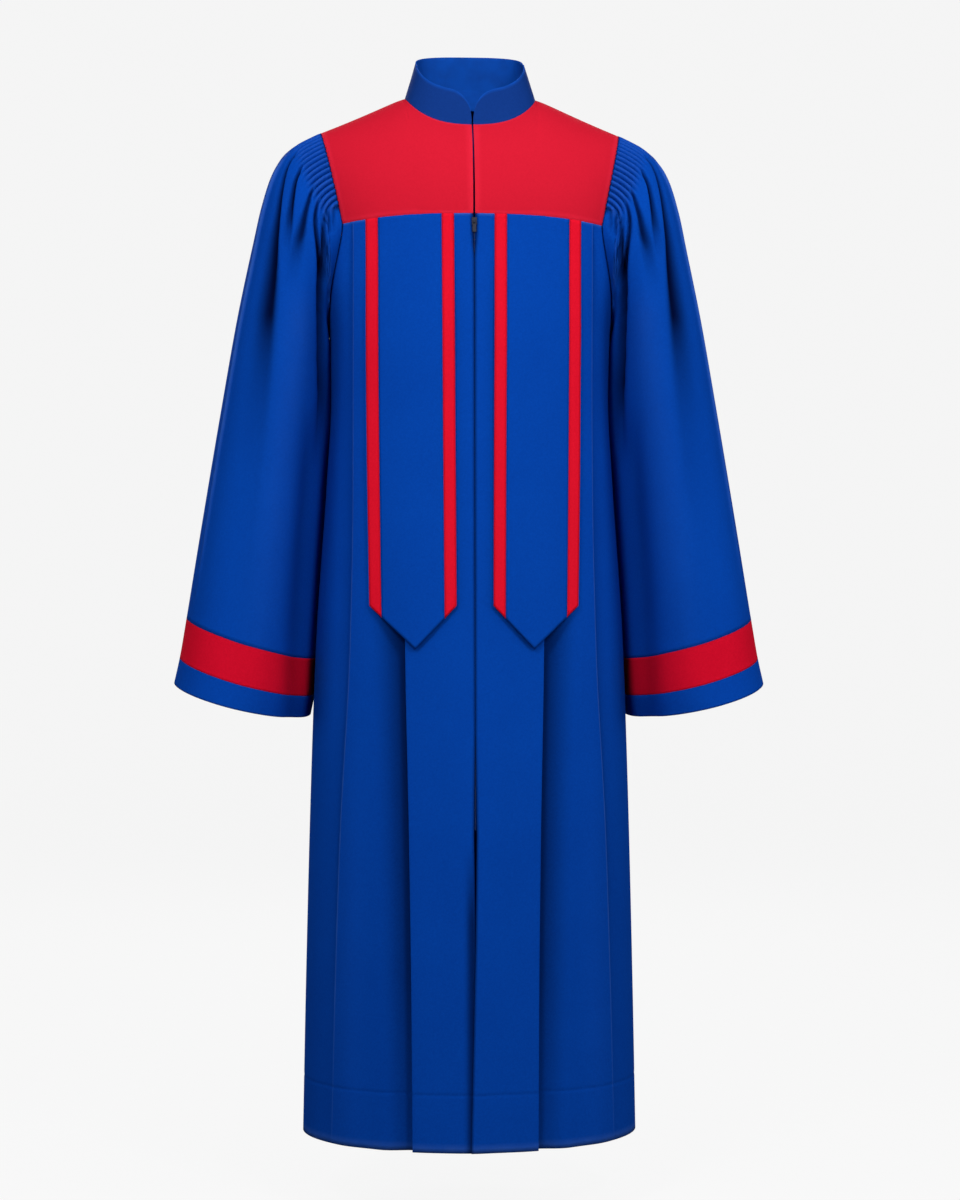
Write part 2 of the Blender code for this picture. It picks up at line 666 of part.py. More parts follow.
def ring_ellipse_point(ring, place, turn):
    """Point of a sleeve ring's plain form on the wearer's left."""
    outer = Vector((ring.outer_x, 0.0, -ring.outer_drop))
    inner = Vector((ring.inner_x, 0.0, -ring.inner_drop))
    centre = (outer + inner) / 2.0
    along = place / CUFF_RING
    forward = Vector((0.0, -SLEEVE_FORWARD * ease(along), 0.0))
    front = Vector((0.0, -ring.half_depth, -CUFF_FRONT_DIP * ease(along)))
    angle = math.radians(turn)
    inner_share = (1.0 - math.cos(angle)) / 2.0
    back = Vector((0.0, ring.inner_back * inner_share ** 2, 0.0))
    return centre + forward + back + (outer - centre) * math.cos(angle) + front * math.sin(angle)


def fold_depth(place, turn):
    """How far the sleeve's soft folds move its skin outward at a place and turn."""
    depth = 0.0
    for fold in SLEEVE_FOLDS:
        span = fold.last_ring - fold.first_ring
        along = (place - fold.first_ring) / span
        if 0.0 < along < 1.0:
            centre = lerp(fold.head_angle, fold.cuff_angle, ease(along))
            away = (turn - centre + 180.0) % 360.0 - 180.0
            swell = math.sin(math.pi * along ** 0.7)
            depth += fold.depth * swell * math.exp(-((away / fold.half_angle) ** 2))
    return depth


def sleeve_point(place, turn, flute_share=None):
    """Point of the left sleeve's skin; flute_share is the place across a flute, if there is one."""
    ring = sleeve_ring(place)
    point = ring_ellipse_point(ring, place, turn)
    seam = ring_ellipse_point(SLEEVE_RINGS[0], 0.0, turn)
    point = point + (armhole_point(turn) - seam) * ring.armhole_pull
    centre = (
        ring_ellipse_point(ring, place, 0.0) + ring_ellipse_point(ring, place, 180.0)
    ) / 2.0
    outward = (point - centre).normalized()
    rise = 0.0
    if flute_share is not None:
        rise = ring.flute * (2.0 * math.sin(math.pi * flute_share) - 1.0)
    return point + outward * (rise + fold_depth(place, turn))


def fluted_turns():
    """Turn and flute share of each point of a fluted ring, from the top down the front."""
    count = FLUTES_EACH_WAY * POINTS_A_FLUTE
    front = []
    for index in range(count + 1):
        arc = index * FLUTE_PITCH / POINTS_A_FLUTE
        front.append((turn_at_arc(arc), (index % POINTS_A_FLUTE) / POINTS_A_FLUTE))
    last_turn = front[-1][0]
    plain = [(turn, None) for turn, _ in armhole_knots() if last_turn < turn < 360.0 - last_turn]
    back = [(360.0 - turn, (1.0 - share) % 1.0) for turn, share in reversed(front[1:])]
    return front + plain + back


def plain_turns():
    """Turns of a plain ring's points."""
    return [360.0 * index / PLAIN_RING_POINTS for index in range(PLAIN_RING_POINTS)]


def mirrored(rows, side):
    """Rows of the left sleeve, mirrored for the right one."""
    return [[Vector((side * point.x, point.y, point.z)) for point in row] for row in rows]


def make_sleeves(collection):
    """Both sleeves with their fluted heads, their red bands and their blue hems."""
    fluted = fluted_turns()
    rows = [[sleeve_point(place, turn, share) for turn, share in fluted] for place in FLUTED_RINGS]
    turns = [[turn for turn, _ in fluted] for _ in FLUTED_RINGS]
    for place in PLAIN_RINGS:
        rows.append([sleeve_point(place, turn) for turn in plain_turns()])
        turns.append(plain_turns())
    rows = trim(rows, top=ARMHOLE_GAP, bottom=SLEEVE_SEAM_GAP)
    band = [[sleeve_point(place, turn) for turn in plain_turns()]
            for place in (BAND_TOP_RING, BAND_BOTTOM_RING)]
    hem = [[sleeve_point(place, turn) for turn in plain_turns()]
           for place in (BAND_BOTTOM_RING, CUFF_RING)]
    band = trim(band, bottom=SLEEVE_SEAM_GAP)
    for side in (LEFT, RIGHT):
        name = SIDE_NAMES[side]
        middle, low = mirrored([[SLEEVE_INSIDE, CUFF_INSIDE]], side)[0]
        cloth_piece(f"sleeve_{name}", mirrored(rows, side), BLUE_CLOTH, collection, middle,
                    closed=True, turns=turns)
        cloth_piece(f"sleeve_band_{name}", mirrored(band, side), RED_CLOTH, collection, low, closed=True)
        cloth_piece(f"sleeve_hem_{name}", mirrored(hem, side), BLUE_CLOTH, collection, low, closed=True)


def collar_full_height(face, point):
    """Height of the collar above a point of the neckline, clear of its front corners."""
    across = abs(point.x) / NECK_HALF_WIDTH
    if face == FRONT:
        return lerp(COLLAR_FRONT_HEIGHT, COLLAR_SIDE_HEIGHT, across ** 2)
    return COLLAR_BACK_RIM - COLLAR_RIM_FALL * across ** COLLAR_RIM_SQUARENESS - point.z


def collar_corner_share(arc):
    """Share of its full height that the collar has at an arc length from its front edge."""
    if arc >= COLLAR_CORNER_LENGTH:
        return 1.0
    rest = 1.0 - arc / COLLAR_CORNER_LENGTH
    edge = COLLAR_FRONT_EDGE / COLLAR_FRONT_HEIGHT
    return lerp(edge, 1.0, math.sqrt(max(1.0 - rest ** COLLAR_CORNER_ROUNDNESS, 0.0)))


def collar_base():
    """Base points of the collar with their face, from the left front round the back."""
    base = []
    front = [yoke_point(FRONT, LEFT, *neck_plan(FRONT, step), 0.0) for step in range(NECK_STEPS + 1)]
    back = [yoke_point(BACK, LEFT, *neck_plan(BACK, step), 0.0) for step in range(NECK_STEPS + 1)]
    front[0].x = closure_x(RIGHT, -front[0].z)
    for step in range(NECK_STEPS):
        splits = COLLAR_CORNER_SPLITS if step < 2 else 1
        for part in range(splits):
            base.append((FRONT, front[step].lerp(front[step + 1], part / splits)))
    base.append((FRONT, front[-1]))
    base.extend((BACK, point) for point in reversed(back[:-1]))
    mirror = [(face, Vector((-point.x, point.y, point.z))) for face, point in reversed(base[:-1])]
    return base + mirror


def make_collar(collection):
    """Stand collar: one band with rounded front corners that leans in towards the neck."""
    base = collar_base()
    points = [point for _, point in base]
    arcs = [0.0]
    for before, after in zip(points, points[1:]):
        arcs.append(arcs[-1] + (after - before).length)
    rows = []
    for row in range(COLLAR_ROWS + 1):
        share = row / COLLAR_ROWS
        line = []
        for (face, point), arc in zip(base, arcs):
            across = (abs(point.x) / NECK_HALF_WIDTH) ** 2
            corner = collar_corner_share(min(arc, arcs[-1] - arc))
            height = collar_full_height(face, point) * corner
            lean = lerp(COLLAR_LEAN_ENDS[face], COLLAR_LEAN_SIDE, across) * corner
            outward = Vector((point.x, point.y, 0.0)).normalized()
            lift = Vector((0.0, 0.0, COLLAR_SEAM_GAP + height * share))
            line.append(point + lift - outward * (lean * share))
        rows.append(line)
    cloth_piece("collar", rows, BLUE_CLOTH, collection, NECK_INSIDE, wall=COLLAR_CLOTH)


def tab_edges(drop):
    """Inner and outer distance of a tab's edges from the centre line at a drop."""
    share = (drop - YOKE_SEAM_DROP) / (TAB_CORNER_DROP - YOKE_SEAM_DROP)
    return (
        lerp(TAB_INNER_X["top"], TAB_INNER_X["bottom"], share),
        lerp(TAB_OUTER_X["top"], TAB_OUTER_X["bottom"], share),
    )


def tab_end_drop(x):
    """Drop of the tab's pointed end at a distance from the centre line."""
    inner, outer = tab_edges(TAB_CORNER_DROP)
    reach = (TAB_TIP_X - inner) if x < TAB_TIP_X else (outer - TAB_TIP_X)
    return lerp(TAB_TIP_DROP, TAB_CORNER_DROP, min(abs(x - TAB_TIP_X) / reach, 1.0))


def tab_rows(side, start_share, end_share, columns):
    """Rows of a strip of a tab between two shares of its width, over the front's own form."""
    rows = []
    for row in range(TAB_ROWS + 1):
        along = row / TAB_ROWS
        line = []
        for column in range(columns + 1):
            share = lerp(start_share, end_share, column / columns)
            inner, outer = tab_edges(TAB_CORNER_DROP)
            end_x = lerp(inner, outer, share)
            top_x = lerp(TAB_INNER_X["top"], TAB_OUTER_X["top"], share)
            drop = lerp(yoke_seam_drop(top_x) + 2.0 * SEAM_GAP, tab_end_drop(end_x), along)
            inner, outer = tab_edges(drop)
            x = lerp(inner, outer, share)
            stand_off = lerp(TAB_STAND_OFF_TOP, TAB_STAND_OFF, ease(along * 3.0))
            line.append(body_point(side, FRONT, angle_at_x(x, drop), drop, -stand_off))
        rows.append(line)
    return rows


def make_tabs(collection):
    """Pointed tabs, each a blue strip between two red bands."""
    width = TAB_OUTER_X["top"] - TAB_INNER_X["top"]
    band = TAB_BAND_WIDTH / width
    tip = (TAB_TIP_X - TAB_INNER_X["bottom"]) / (TAB_OUTER_X["bottom"] - TAB_INNER_X["bottom"])
    for side in (LEFT, RIGHT):
        name = SIDE_NAMES[side]
        inner_half = tab_rows(side, band, tip, 2)
        outer_half = tab_rows(side, tip, 1.0 - band, 2)
        middle = [first[:-1] + second for first, second in zip(inner_half, outer_half)]
        cloth_piece(f"tab_{name}", trim(middle, first=TAB_SEAM_GAP, last=TAB_SEAM_GAP), BLUE_CLOTH,
                    collection, CHEST_INSIDE)
        inner_band = tab_rows(side, 0.0, band, 1)
        cloth_piece(f"tab_band_{name}_inner", inner_band, RED_CLOTH, collection, CHEST_INSIDE)
        outer_band = tab_rows(side, 1.0 - band, 1.0, 1)
        cloth_piece(f"tab_band_{name}_outer", outer_band, RED_CLOTH, collection, CHEST_INSIDE)


def closure_line(side, x, inward):
    """Points down the closure, x from the centre line, moved inward from the fronts' skin."""
    points = []
    yoke = [row[0] for row in yoke_grid(FRONT, side)]
    for above, below in zip(yoke, yoke[1:]):
        fall = (below - above).normalized()
        outward = Vector((0.0, fall.z, -fall.y))
        points.append(Vector((side * x, above.y, above.z)) - outward * inward)
    for drop in (YOKE_SEAM_DROP, *(armhole_drop(step) for step in range(1, ARMHOLE_STEPS + 1))):
        points.append(body_point(side, FRONT, angle_at_x(x, drop), drop, inward))
    for drop in LOWER_ROW_DROPS:
        if drop <= ZIP_END_DROP:
            points.append(body_point(side, FRONT, angle_at_x(x, drop), drop, inward))
    return points


def make_zip_tapes(collection):
    """Tape behind each centre edge, from the neckline to the end of the zip."""
    inward = CLOTH + BACKING_GAP
    for side in (LEFT, RIGHT):
        inner = closure_line(side, TAPE_INNER_X, inward)
        outer = closure_line(side, TAPE_INNER_X + TAPE_WIDTH, inward)
        rows = [[a, b] for a, b in zip(inner, outer)]
        rows = trim(rows, top=2 * COLLAR_CLOTH)
        cloth_piece(f"zip_tape_{SIDE_NAMES[side]}", rows, BLUE_TAPE, collection, CHEST_INSIDE,
                    wall=TAPE_CLOTH)


def make_zip_chain(collection):
    """Closed chain between the tapes, below the slider."""
    top = SLIDER_TOP_DROP + SLIDER_LENGTH + SEAM_GAP
    drops = [top, *CHAIN_ROW_DROPS, *(drop for drop in LOWER_ROW_DROPS if drop <= ZIP_END_DROP)]
    rows = []
    for drop in drops:
        skin = body_point(LEFT, FRONT, 0.0, drop, CLOTH + BACKING_GAP)
        rows.append([Vector((x, skin.y, skin.z)) for x in (-CHAIN_HALF_WIDTH, CHAIN_HALF_WIDTH)])
    cloth_piece("zip_chain", rows, BLUE_COIL, collection, CHEST_INSIDE, wall=CHAIN_THICKNESS)


def add_box(name, centre, size, collection):
    """Box from a cube primitive, as an object whose mesh has its real size."""
    mesh = bpy.data.meshes.new(name)
    work = bmesh.new()
    bmesh.ops.create_cube(work, size=1.0)
    bmesh.ops.scale(work, vec=size, verts=work.verts)
    bmesh.ops.translate(work, vec=centre, verts=work.verts)
    work.to_mesh(mesh)
    work.free()
    piece = bpy.data.objects.new(name, mesh)
    collection.objects.link(piece)
    return piece


def combine(piece, other, operation):
    """Boolean of a piece with another, which is only a guide."""
    modifier = piece.modifiers.new(other.name, "BOOLEAN")
    modifier.operation = operation
    modifier.solver = "EXACT"
    modifier.object = other
    other.hide_render = True
    other.display_type = "WIRE"


def slider_face_y():
    """Depth of the slider's front face."""
    middle = SLIDER_TOP_DROP + SLIDER_LENGTH / 2.0
    return body_point(LEFT, FRONT, 0.0, middle).y - SLIDER_PROUD


def pull_axis():
    """Centre of the pull tab's axle, under the slider's bridge."""
    middle = SLIDER_TOP_DROP + SLIDER_LENGTH / 2.0
    clear = (BRIDGE_HEIGHT - BRIDGE_BAR) / 2.0
    return Vector((0.0, slider_face_y() - clear, -middle))


def make_zip_slider(collection, guides):
    """Slider: two plates joined by a post between the open tapes, and a bridge for the pull."""
    middle = SLIDER_TOP_DROP + SLIDER_LENGTH / 2.0
    face = slider_face_y()
    back_plate = face + SLIDER_PROUD + CLOTH + TAPE_CLOTH + SLIDER_REAR_GAP
    slider = add_box("zip_slider", (0.0, face + SLIDER_PLATE / 2.0, -middle),
                     (SLIDER_WIDTH, SLIDER_PLATE, SLIDER_LENGTH), collection)
    rear = add_box("slider_rear_plate", (0.0, back_plate + SLIDER_PLATE / 2.0, -middle),
                   (SLIDER_WIDTH, SLIDER_PLATE, SLIDER_LENGTH), guides)
    reach = back_plate - face
    post_top = SLIDER_TOP_DROP + SLIDER_POST_LENGTH / 2.0 + SEAM_GAP
    post = add_box("slider_post", (0.0, face + SLIDER_PLATE / 2.0 + reach / 2.0, -post_top),
                   (SLIDER_POST_WIDTH, reach, SLIDER_POST_LENGTH), guides)
    bridge = add_box("slider_bridge", (0.0, face - BRIDGE_HEIGHT / 2.0 + SLIDER_PLATE / 4.0, -middle),
                     (BRIDGE_WIDTH, BRIDGE_HEIGHT + SLIDER_PLATE / 2.0, BRIDGE_LENGTH), guides)
    gap = BRIDGE_HEIGHT - BRIDGE_BAR
    eye = add_box("slider_eye", (0.0, face - gap / 2.0, -middle),
                  (2.0 * BRIDGE_WIDTH, gap, BRIDGE_LENGTH - 2.0 * BRIDGE_BAR), guides)
    combine(bridge, eye, "DIFFERENCE")
    for part in (rear, post, bridge):
        combine(slider, part, "UNION")
    dress_metal(slider)


def make_zip_pull(collection, guides):
    """Pull tab: a plate with a window, whose axle lies under the slider's bridge."""
    axis = pull_axis()
    pivot = bpy.data.objects.new("pull_pivot", None)
    pivot.location = axis
    collection.objects.link(pivot)
    top = PULL_AXLE / 2.0
    pull = add_box("zip_pull", (0.0, 0.0, (top - PULL_LENGTH) / 2.0),
                   (PULL_WIDTH, PULL_THICKNESS, top + PULL_LENGTH), collection)
    pull.parent = pivot
    window = add_box("pull_window", axis - Vector((0.0, 0.0, top + PULL_WINDOW / 2.0)),
                     (PULL_WIDTH - 2.0 * PULL_ARM, 4.0 * PULL_THICKNESS, PULL_WINDOW), guides)
    combine(pull, window, "DIFFERENCE")
    dress_metal(pull)


def dress_metal(piece):
    """Give a metal piece its own material."""
    material = make_material(DARK_METAL).copy()
    material.name = f"{piece.name}_{DARK_METAL.name}"
    piece.data.materials.append(material)


def clear_scene():
    """Remove what the scene holds."""
    for item in list(bpy.data.objects):
        bpy.data.objects.remove(item, do_unlink=True)


def new_collection(name):
    """Collection of a name, in the scene."""
    collection = bpy.data.collections.new(name)
    bpy.context.scene.collection.children.link(collection)
    return collection


def main():
    """Build the robe."""
    clear_scene()
    robe = new_collection("choir_robe")
    guides = new_collection("guides")
    make_yokes(robe)
    make_fronts(robe)
    make_back(robe)
    make_sleeves(robe)
    make_collar(robe)
    make_tabs(robe)
    make_zip_tapes(robe)
    make_zip_chain(robe)
    make_zip_slider(robe, guides)
    make_zip_pull(robe, guides)


main()
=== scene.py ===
"""Looks of a choir robe: fine cloth shells, pleats, seams, a zip and a plain studio.

Every piece of cloth is a thin shell on the form of its solid, with its pleats, gathers and soft
folds. +X is the wearer's left, +Y the back and +Z up. The origin is at the base of the neck.
Lengths are metres, and a drop is the distance below the origin.
"""

import logging
import math
from collections.abc import Callable, Iterable, Sequence
from dataclasses import dataclass, field, replace
from enum import Enum
from functools import lru_cache, partial

import bmesh
import bpy
import numpy as np
from mathutils import Matrix, Vector


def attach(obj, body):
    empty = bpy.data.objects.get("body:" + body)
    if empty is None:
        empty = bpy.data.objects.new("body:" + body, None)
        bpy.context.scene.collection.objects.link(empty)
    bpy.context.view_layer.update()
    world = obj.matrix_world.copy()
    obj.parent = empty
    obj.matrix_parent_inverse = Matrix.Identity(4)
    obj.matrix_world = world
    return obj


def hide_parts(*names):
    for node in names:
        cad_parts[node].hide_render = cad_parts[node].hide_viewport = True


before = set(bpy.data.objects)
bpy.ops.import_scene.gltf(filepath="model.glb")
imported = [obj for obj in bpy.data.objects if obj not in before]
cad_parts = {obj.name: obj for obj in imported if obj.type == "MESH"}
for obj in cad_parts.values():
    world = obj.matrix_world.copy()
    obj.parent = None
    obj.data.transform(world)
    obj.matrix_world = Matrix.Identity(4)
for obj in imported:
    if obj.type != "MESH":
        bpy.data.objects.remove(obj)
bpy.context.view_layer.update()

LOG = logging.getLogger("choir_robe")
RIGHT_ANGLE = math.pi / 2
FULL_TURN = 360.0
ROBE = "robe"
CLOTH = 0.0009  # thickness of a shell
SEAM_GAP = 0.00012  # how far a sewn edge is drawn in
ALLOWANCE = 0.0035  # how far it turns to the inside
EDGE_BEND = 0.0006  # rounding of a turned edge
FULL_FOLD = 0.009  # depth of a crease that is shaded in full
CREASE_REACH = 4.0  # how far a crease is felt, in its widths
# Spread and power of the shade painted round a crease, and the start of the shade painted beside a seam.
FOLD_SHADE_SPREAD = 0.9
FOLD_SHADE_POWER = 2.4
SEAM_SHADE_START = 1.3
TINY = 1e-12
GREY = (0.5, 0.5, 0.5)

Colour = tuple[float, float, float]
Skin = Callable[[float, float], Vector]
Tree = bpy.types.NodeTree
Node = bpy.types.Node
Socket = bpy.types.NodeSocket


class Side(Enum):
    """Wearer's side of the robe."""

    LEFT = 1
    RIGHT = -1

    @property
    def label(self) -> str:
        """Name of the side in the names of pieces."""
        return self.name.lower()


class Face(Enum):
    """Front or back of the robe, with the sign of its depth."""

    FRONT = -1
    BACK = 1


class Edge(Enum):
    """Edge of a grid of cloth."""

    TOP = "top"
    BOTTOM = "bottom"
    FIRST = "first"
    LAST = "last"

    def lines(self, values: np.ndarray) -> np.ndarray:
        """View of a grid's values in lines from this edge inward."""
        turned = values if self in (Edge.TOP, Edge.BOTTOM) else values.swapaxes(0, 1)
        return turned if self in (Edge.TOP, Edge.FIRST) else turned[::-1]

    def grown(self, values: np.ndarray, extra: Sequence[np.ndarray]) -> np.ndarray:
        """Grid's values with more lines beyond this edge, the farthest first."""
        lines = np.concatenate([np.stack(extra), self.lines(values)])
        if self in (Edge.BOTTOM, Edge.LAST):
            lines = lines[::-1]
        return lines if self in (Edge.TOP, Edge.BOTTOM) else lines.swapaxes(0, 1)


def lerp(start: float, end: float, share: float) -> float:
    """Value a share of the way from start to end."""
    return start + (end - start) * share


def ease(share: float) -> float:
    """Share that starts and stops gently, held between nothing and all."""
    held = min(max(share, 0.0), 1.0)
    return held * held * (3.0 - 2.0 * held)


def signed_power(value: float, exponent: float) -> float:
    """Power of a size that keeps the value's sign."""
    return math.copysign(abs(value) ** exponent, value)


def joined_slope(before: float, after: float) -> float:
    """Slope at a table row between two stretches, so that the curve never overshoots."""
    if before * after <= 0.0:
        return 0.0
    return 2.0 * before * after / (before + after)


def smooth_between(keys: Sequence[float], values: Sequence[float], at: float) -> float:
    """Smooth value at a key, through every pair of key and value.

    Args:
        keys: Rising keys.
        values: Value at each key.
        at: Key to read, held between the first and the last.

    Returns:
        The value there.
    """
    at = min(max(at, keys[0]), keys[-1])
    row = max(index for index in range(len(keys) - 1) if keys[index] <= at)
    slopes = [(values[i + 1] - values[i]) / (keys[i + 1] - keys[i]) for i in range(len(keys) - 1)]
    start_slope = slopes[row] if row == 0 else joined_slope(slopes[row - 1], slopes[row])
    end_slope = slopes[row] if row == len(slopes) - 1 else joined_slope(slopes[row], slopes[row + 1])
    width = keys[row + 1] - keys[row]
    t = (at - keys[row]) / width
    start_lean = t * (1.0 - t) * (1.0 - t) * width
    end_lean = t * t * (t - 1.0) * width
    return lerp(values[row], values[row + 1], ease(t)) + start_slope * start_lean + end_slope * end_lean


def spread(start: float, end: float, count: int, after_start: bool = False) -> list[float]:
    """Evenly spaced values from start to end.

    Args:
        start: First value.
        end: Last value.
        count: Number of steps.
        after_start: Leaves the first value out, where it ends the list before.

    Returns:
        The values.
    """
    values = [lerp(start, end, step / count) for step in range(count + 1)]
    return values[1:] if after_start else values


def on_axis(height: float) -> Vector:
    """Point at a height on the robe's upright middle line, or a step of that length upward."""
    return Vector((0.0, 0.0, height))


def shares(count: int) -> list[float]:
    """Even shares of the way from a start, which is left out, to the end."""
    return spread(0.0, 1.0, count, after_start=True)


@dataclass(frozen=True)
class BodySection:
    """Level section of the robe's body."""

    drop: float
    half_width: float
    front_depth: float
    back_depth: float
    squareness: float


@dataclass(frozen=True)
class PleatLine:
    """Places of the two pleats of a half panel at a drop."""

    drop: float
    inner_x: float
    outer_x: float
    outer_depth: float


@dataclass(frozen=True)
class Closure:
    """Half the front opening at a drop, and how the left front laps over the right."""

    drop: float
    half_gap: float
    lap: float = 0.0
    lift: float = 0.0


@dataclass(frozen=True)
class SleeveRing:
    """Ring of the sleeve, from its outer side at the top to its inner side under the arm."""

    outer_x: float
    outer_drop: float
    inner_x: float
    inner_drop: float
    inner_back: float
    half_depth: float
    armhole_pull: float


BODY_SECTIONS = tuple(BodySection(*row) for row in (
    (0.158, 0.1865, 0.1180, 0.120, 2.80),
    (0.230, 0.1850, 0.1215, 0.122, 2.70),
    (0.300, 0.1790, 0.1245, 0.120, 2.60),
    (0.380, 0.1770, 0.1265, 0.118, 2.50),
    (0.480, 0.1820, 0.1290, 0.120, 2.45),
    (0.690, 0.1960, 0.1370, 0.131, 2.30),
    (0.870, 0.2025, 0.1440, 0.141, 2.20),
    (1.120, 0.2088, 0.1545, 0.154, 2.05),
    (1.310, 0.2125, 0.1620, 0.162, 2.00),
))
PLEAT_LINES = tuple(PleatLine(*row) for row in (
    (0.158, 0.0880, 0.1495, 0.0050),
    (0.510, 0.0862, 0.1500, 0.0045),
    (0.690, 0.0850, 0.1535, 0.0035),
    (0.920, 0.0806, 0.1650, 0.0015),
    (1.120, 0.0778, 0.1715, 0.0004),
    (1.310, 0.0765, 0.1760, 0.0),
))
CLOSURES = tuple(Closure(*row) for row in (
    (0.0400, 0.0011),
    (0.1540, 0.0014),
    (0.1583, 0.0030),
    (0.1830, 0.0030),
    (0.2130, 0.0004),
    (0.8000, 0.0004),
    (0.9180, 0.0020),
    (1.0500, 0.0004, 0.0, 0.0022),
    (1.1800, 0.0004, 0.003, 0.0022),
    (1.3100, 0.0004, 0.006, 0.0022),
))
SLEEVE_RINGS = tuple(SleeveRing(*row) for row in (
    (0.1900, 0.0455, 0.1790, 0.3000, 0.000, 0.0790, 1.00),
    (0.2040, 0.0512, 0.1798, 0.3045, 0.005, 0.0850, 0.72),
    (0.2190, 0.0580, 0.1786, 0.3110, 0.014, 0.0900, 0.42),
    (0.2350, 0.0690, 0.1752, 0.3215, 0.028, 0.0950, 0.18),
    (0.2516, 0.0943, 0.1706, 0.3450, 0.045, 0.0980, 0.06),
    (0.2650, 0.1350, 0.1694, 0.3750, 0.054, 0.0990, 0.0),
    (0.2761, 0.1843, 0.1699, 0.4150, 0.058, 0.0990, 0.0),
    (0.2950, 0.2740, 0.1755, 0.4720, 0.058, 0.1000, 0.0),
    (0.3181, 0.4058, 0.1828, 0.5550, 0.056, 0.1030, 0.0),
    (0.3437, 0.5594, 0.1905, 0.6550, 0.054, 0.1090, 0.0),
    (0.3596, 0.6577, 0.1942, 0.7086, 0.052, 0.1120, 0.0),
    (0.3681, 0.7076, 0.1980, 0.7556, 0.050, 0.1145, 0.0),
    (0.3752, 0.7398, 0.2030, 0.7822, 0.050, 0.1160, 0.0),
))


def row_at(table: tuple, drop: float, smooth: bool = True) -> object:
    """Row of a table of drops, read at any drop.

    Args:
        table: Rows with rising drops.
        drop: Drop to read.
        smooth: Reads a smooth curve, or else straight lines between the rows.

    Returns:
        A row of the same kind.
    """
    return rounded_row(table, round(drop, 5), smooth)


@lru_cache(maxsize=None)
def rounded_row(table: tuple, drop: float, smooth: bool) -> object:
    """Row of a table at a rounded drop, kept for the next time."""
    keys = [row.drop for row in table]
    names = [name for name in vars(table[0]) if name != "drop"]
    columns = {name: [getattr(row, name) for row in table] for name in names}
    if smooth:
        values = {name: smooth_between(keys, column, drop) for name, column in columns.items()}
    else:
        values = {name: float(np.interp(drop, keys, column)) for name, column in columns.items()}
    return type(table[0])(drop=drop, **values)


@dataclass(frozen=True)
class BodyForm:
    """Outer form of the body of the robe below its yoke."""

    hem_drop: float = 1.310
    underarm_drop: float = 0.300
    corner_x: float = 0.162
    seam_drop: float = 0.1584
    corner_dip: float = 0.0088
    armhole_roundness: float = 1.5

    def yoke_seam(self, x: float) -> float:
        """Drop of the yoke seam, which dips a little towards the armholes."""
        return self.seam_drop + self.corner_dip * (x / self.corner_x) ** 2

    def angle_at_x(self, x: float, drop: float) -> float:
        """Angle round the section, from its centre line, where it is x wide."""
        section = row_at(BODY_SECTIONS, drop)
        share = min(abs(x) / section.half_width, 1.0)
        return math.copysign(math.asin(share ** (section.squareness / 2.0)), x)

    def point(self, side: Side, face: Face, angle: float, drop: float, inward: float = 0.0) -> Vector:
        """Point of the skin, or one moved inward from it.

        Args:
            side: Wearer's side.
            face: Front or back.
            angle: Angle round the section from its centre line.
            drop: Drop of the point.
            inward: How far it lies inside the skin.

        Returns:
            The point.
        """
        section = row_at(BODY_SECTIONS, drop)
        depth = section.front_depth if face is Face.FRONT else section.back_depth
        power = 2.0 / section.squareness
        across = signed_power(math.sin(angle), power)
        along = max(math.cos(angle), 0.0) ** power
        lean = section.squareness - 1.0
        normal = Vector((signed_power(across, lean) / section.half_width, along ** lean / depth))
        normal.normalize()
        x = section.half_width * across - inward * normal.x
        y = depth * along - inward * normal.y
        return Vector((side.value * x, face.value * y, -drop))

    def at_x(self, side: Side, face: Face, x: float, drop: float, inward: float = 0.0) -> Vector:
        """Point of the skin at a distance from the centre line, or one moved inward from it."""
        return self.point(side, face, self.angle_at_x(x, drop), drop, inward)

    def armhole_drop(self, share: float) -> float:
        """Drop of the armhole edge, a share of the way from the yoke corner to the underarm."""
        rise = math.sin(RIGHT_ANGLE * share) ** (2.0 / self.armhole_roundness)
        return lerp(self.yoke_seam(self.corner_x), self.underarm_drop, rise)

    def armhole_angle(self, face: Face, share: float) -> float:
        """Angle round the section where the armhole edge passes a share of its way down."""
        corner_drop = self.yoke_seam(self.corner_x)
        corner = self.at_x(Side.LEFT, face, self.corner_x, corner_drop)
        fall = max(math.cos(RIGHT_ANGLE * share), 0.0) ** (2.0 / self.armhole_roundness)
        section = row_at(BODY_SECTIONS, self.armhole_drop(share))
        depth = section.front_depth if face is Face.FRONT else section.back_depth
        return math.acos(min(abs(corner.y) * fall / depth, 1.0) ** (section.squareness / 2.0))


BODY = BodyForm()


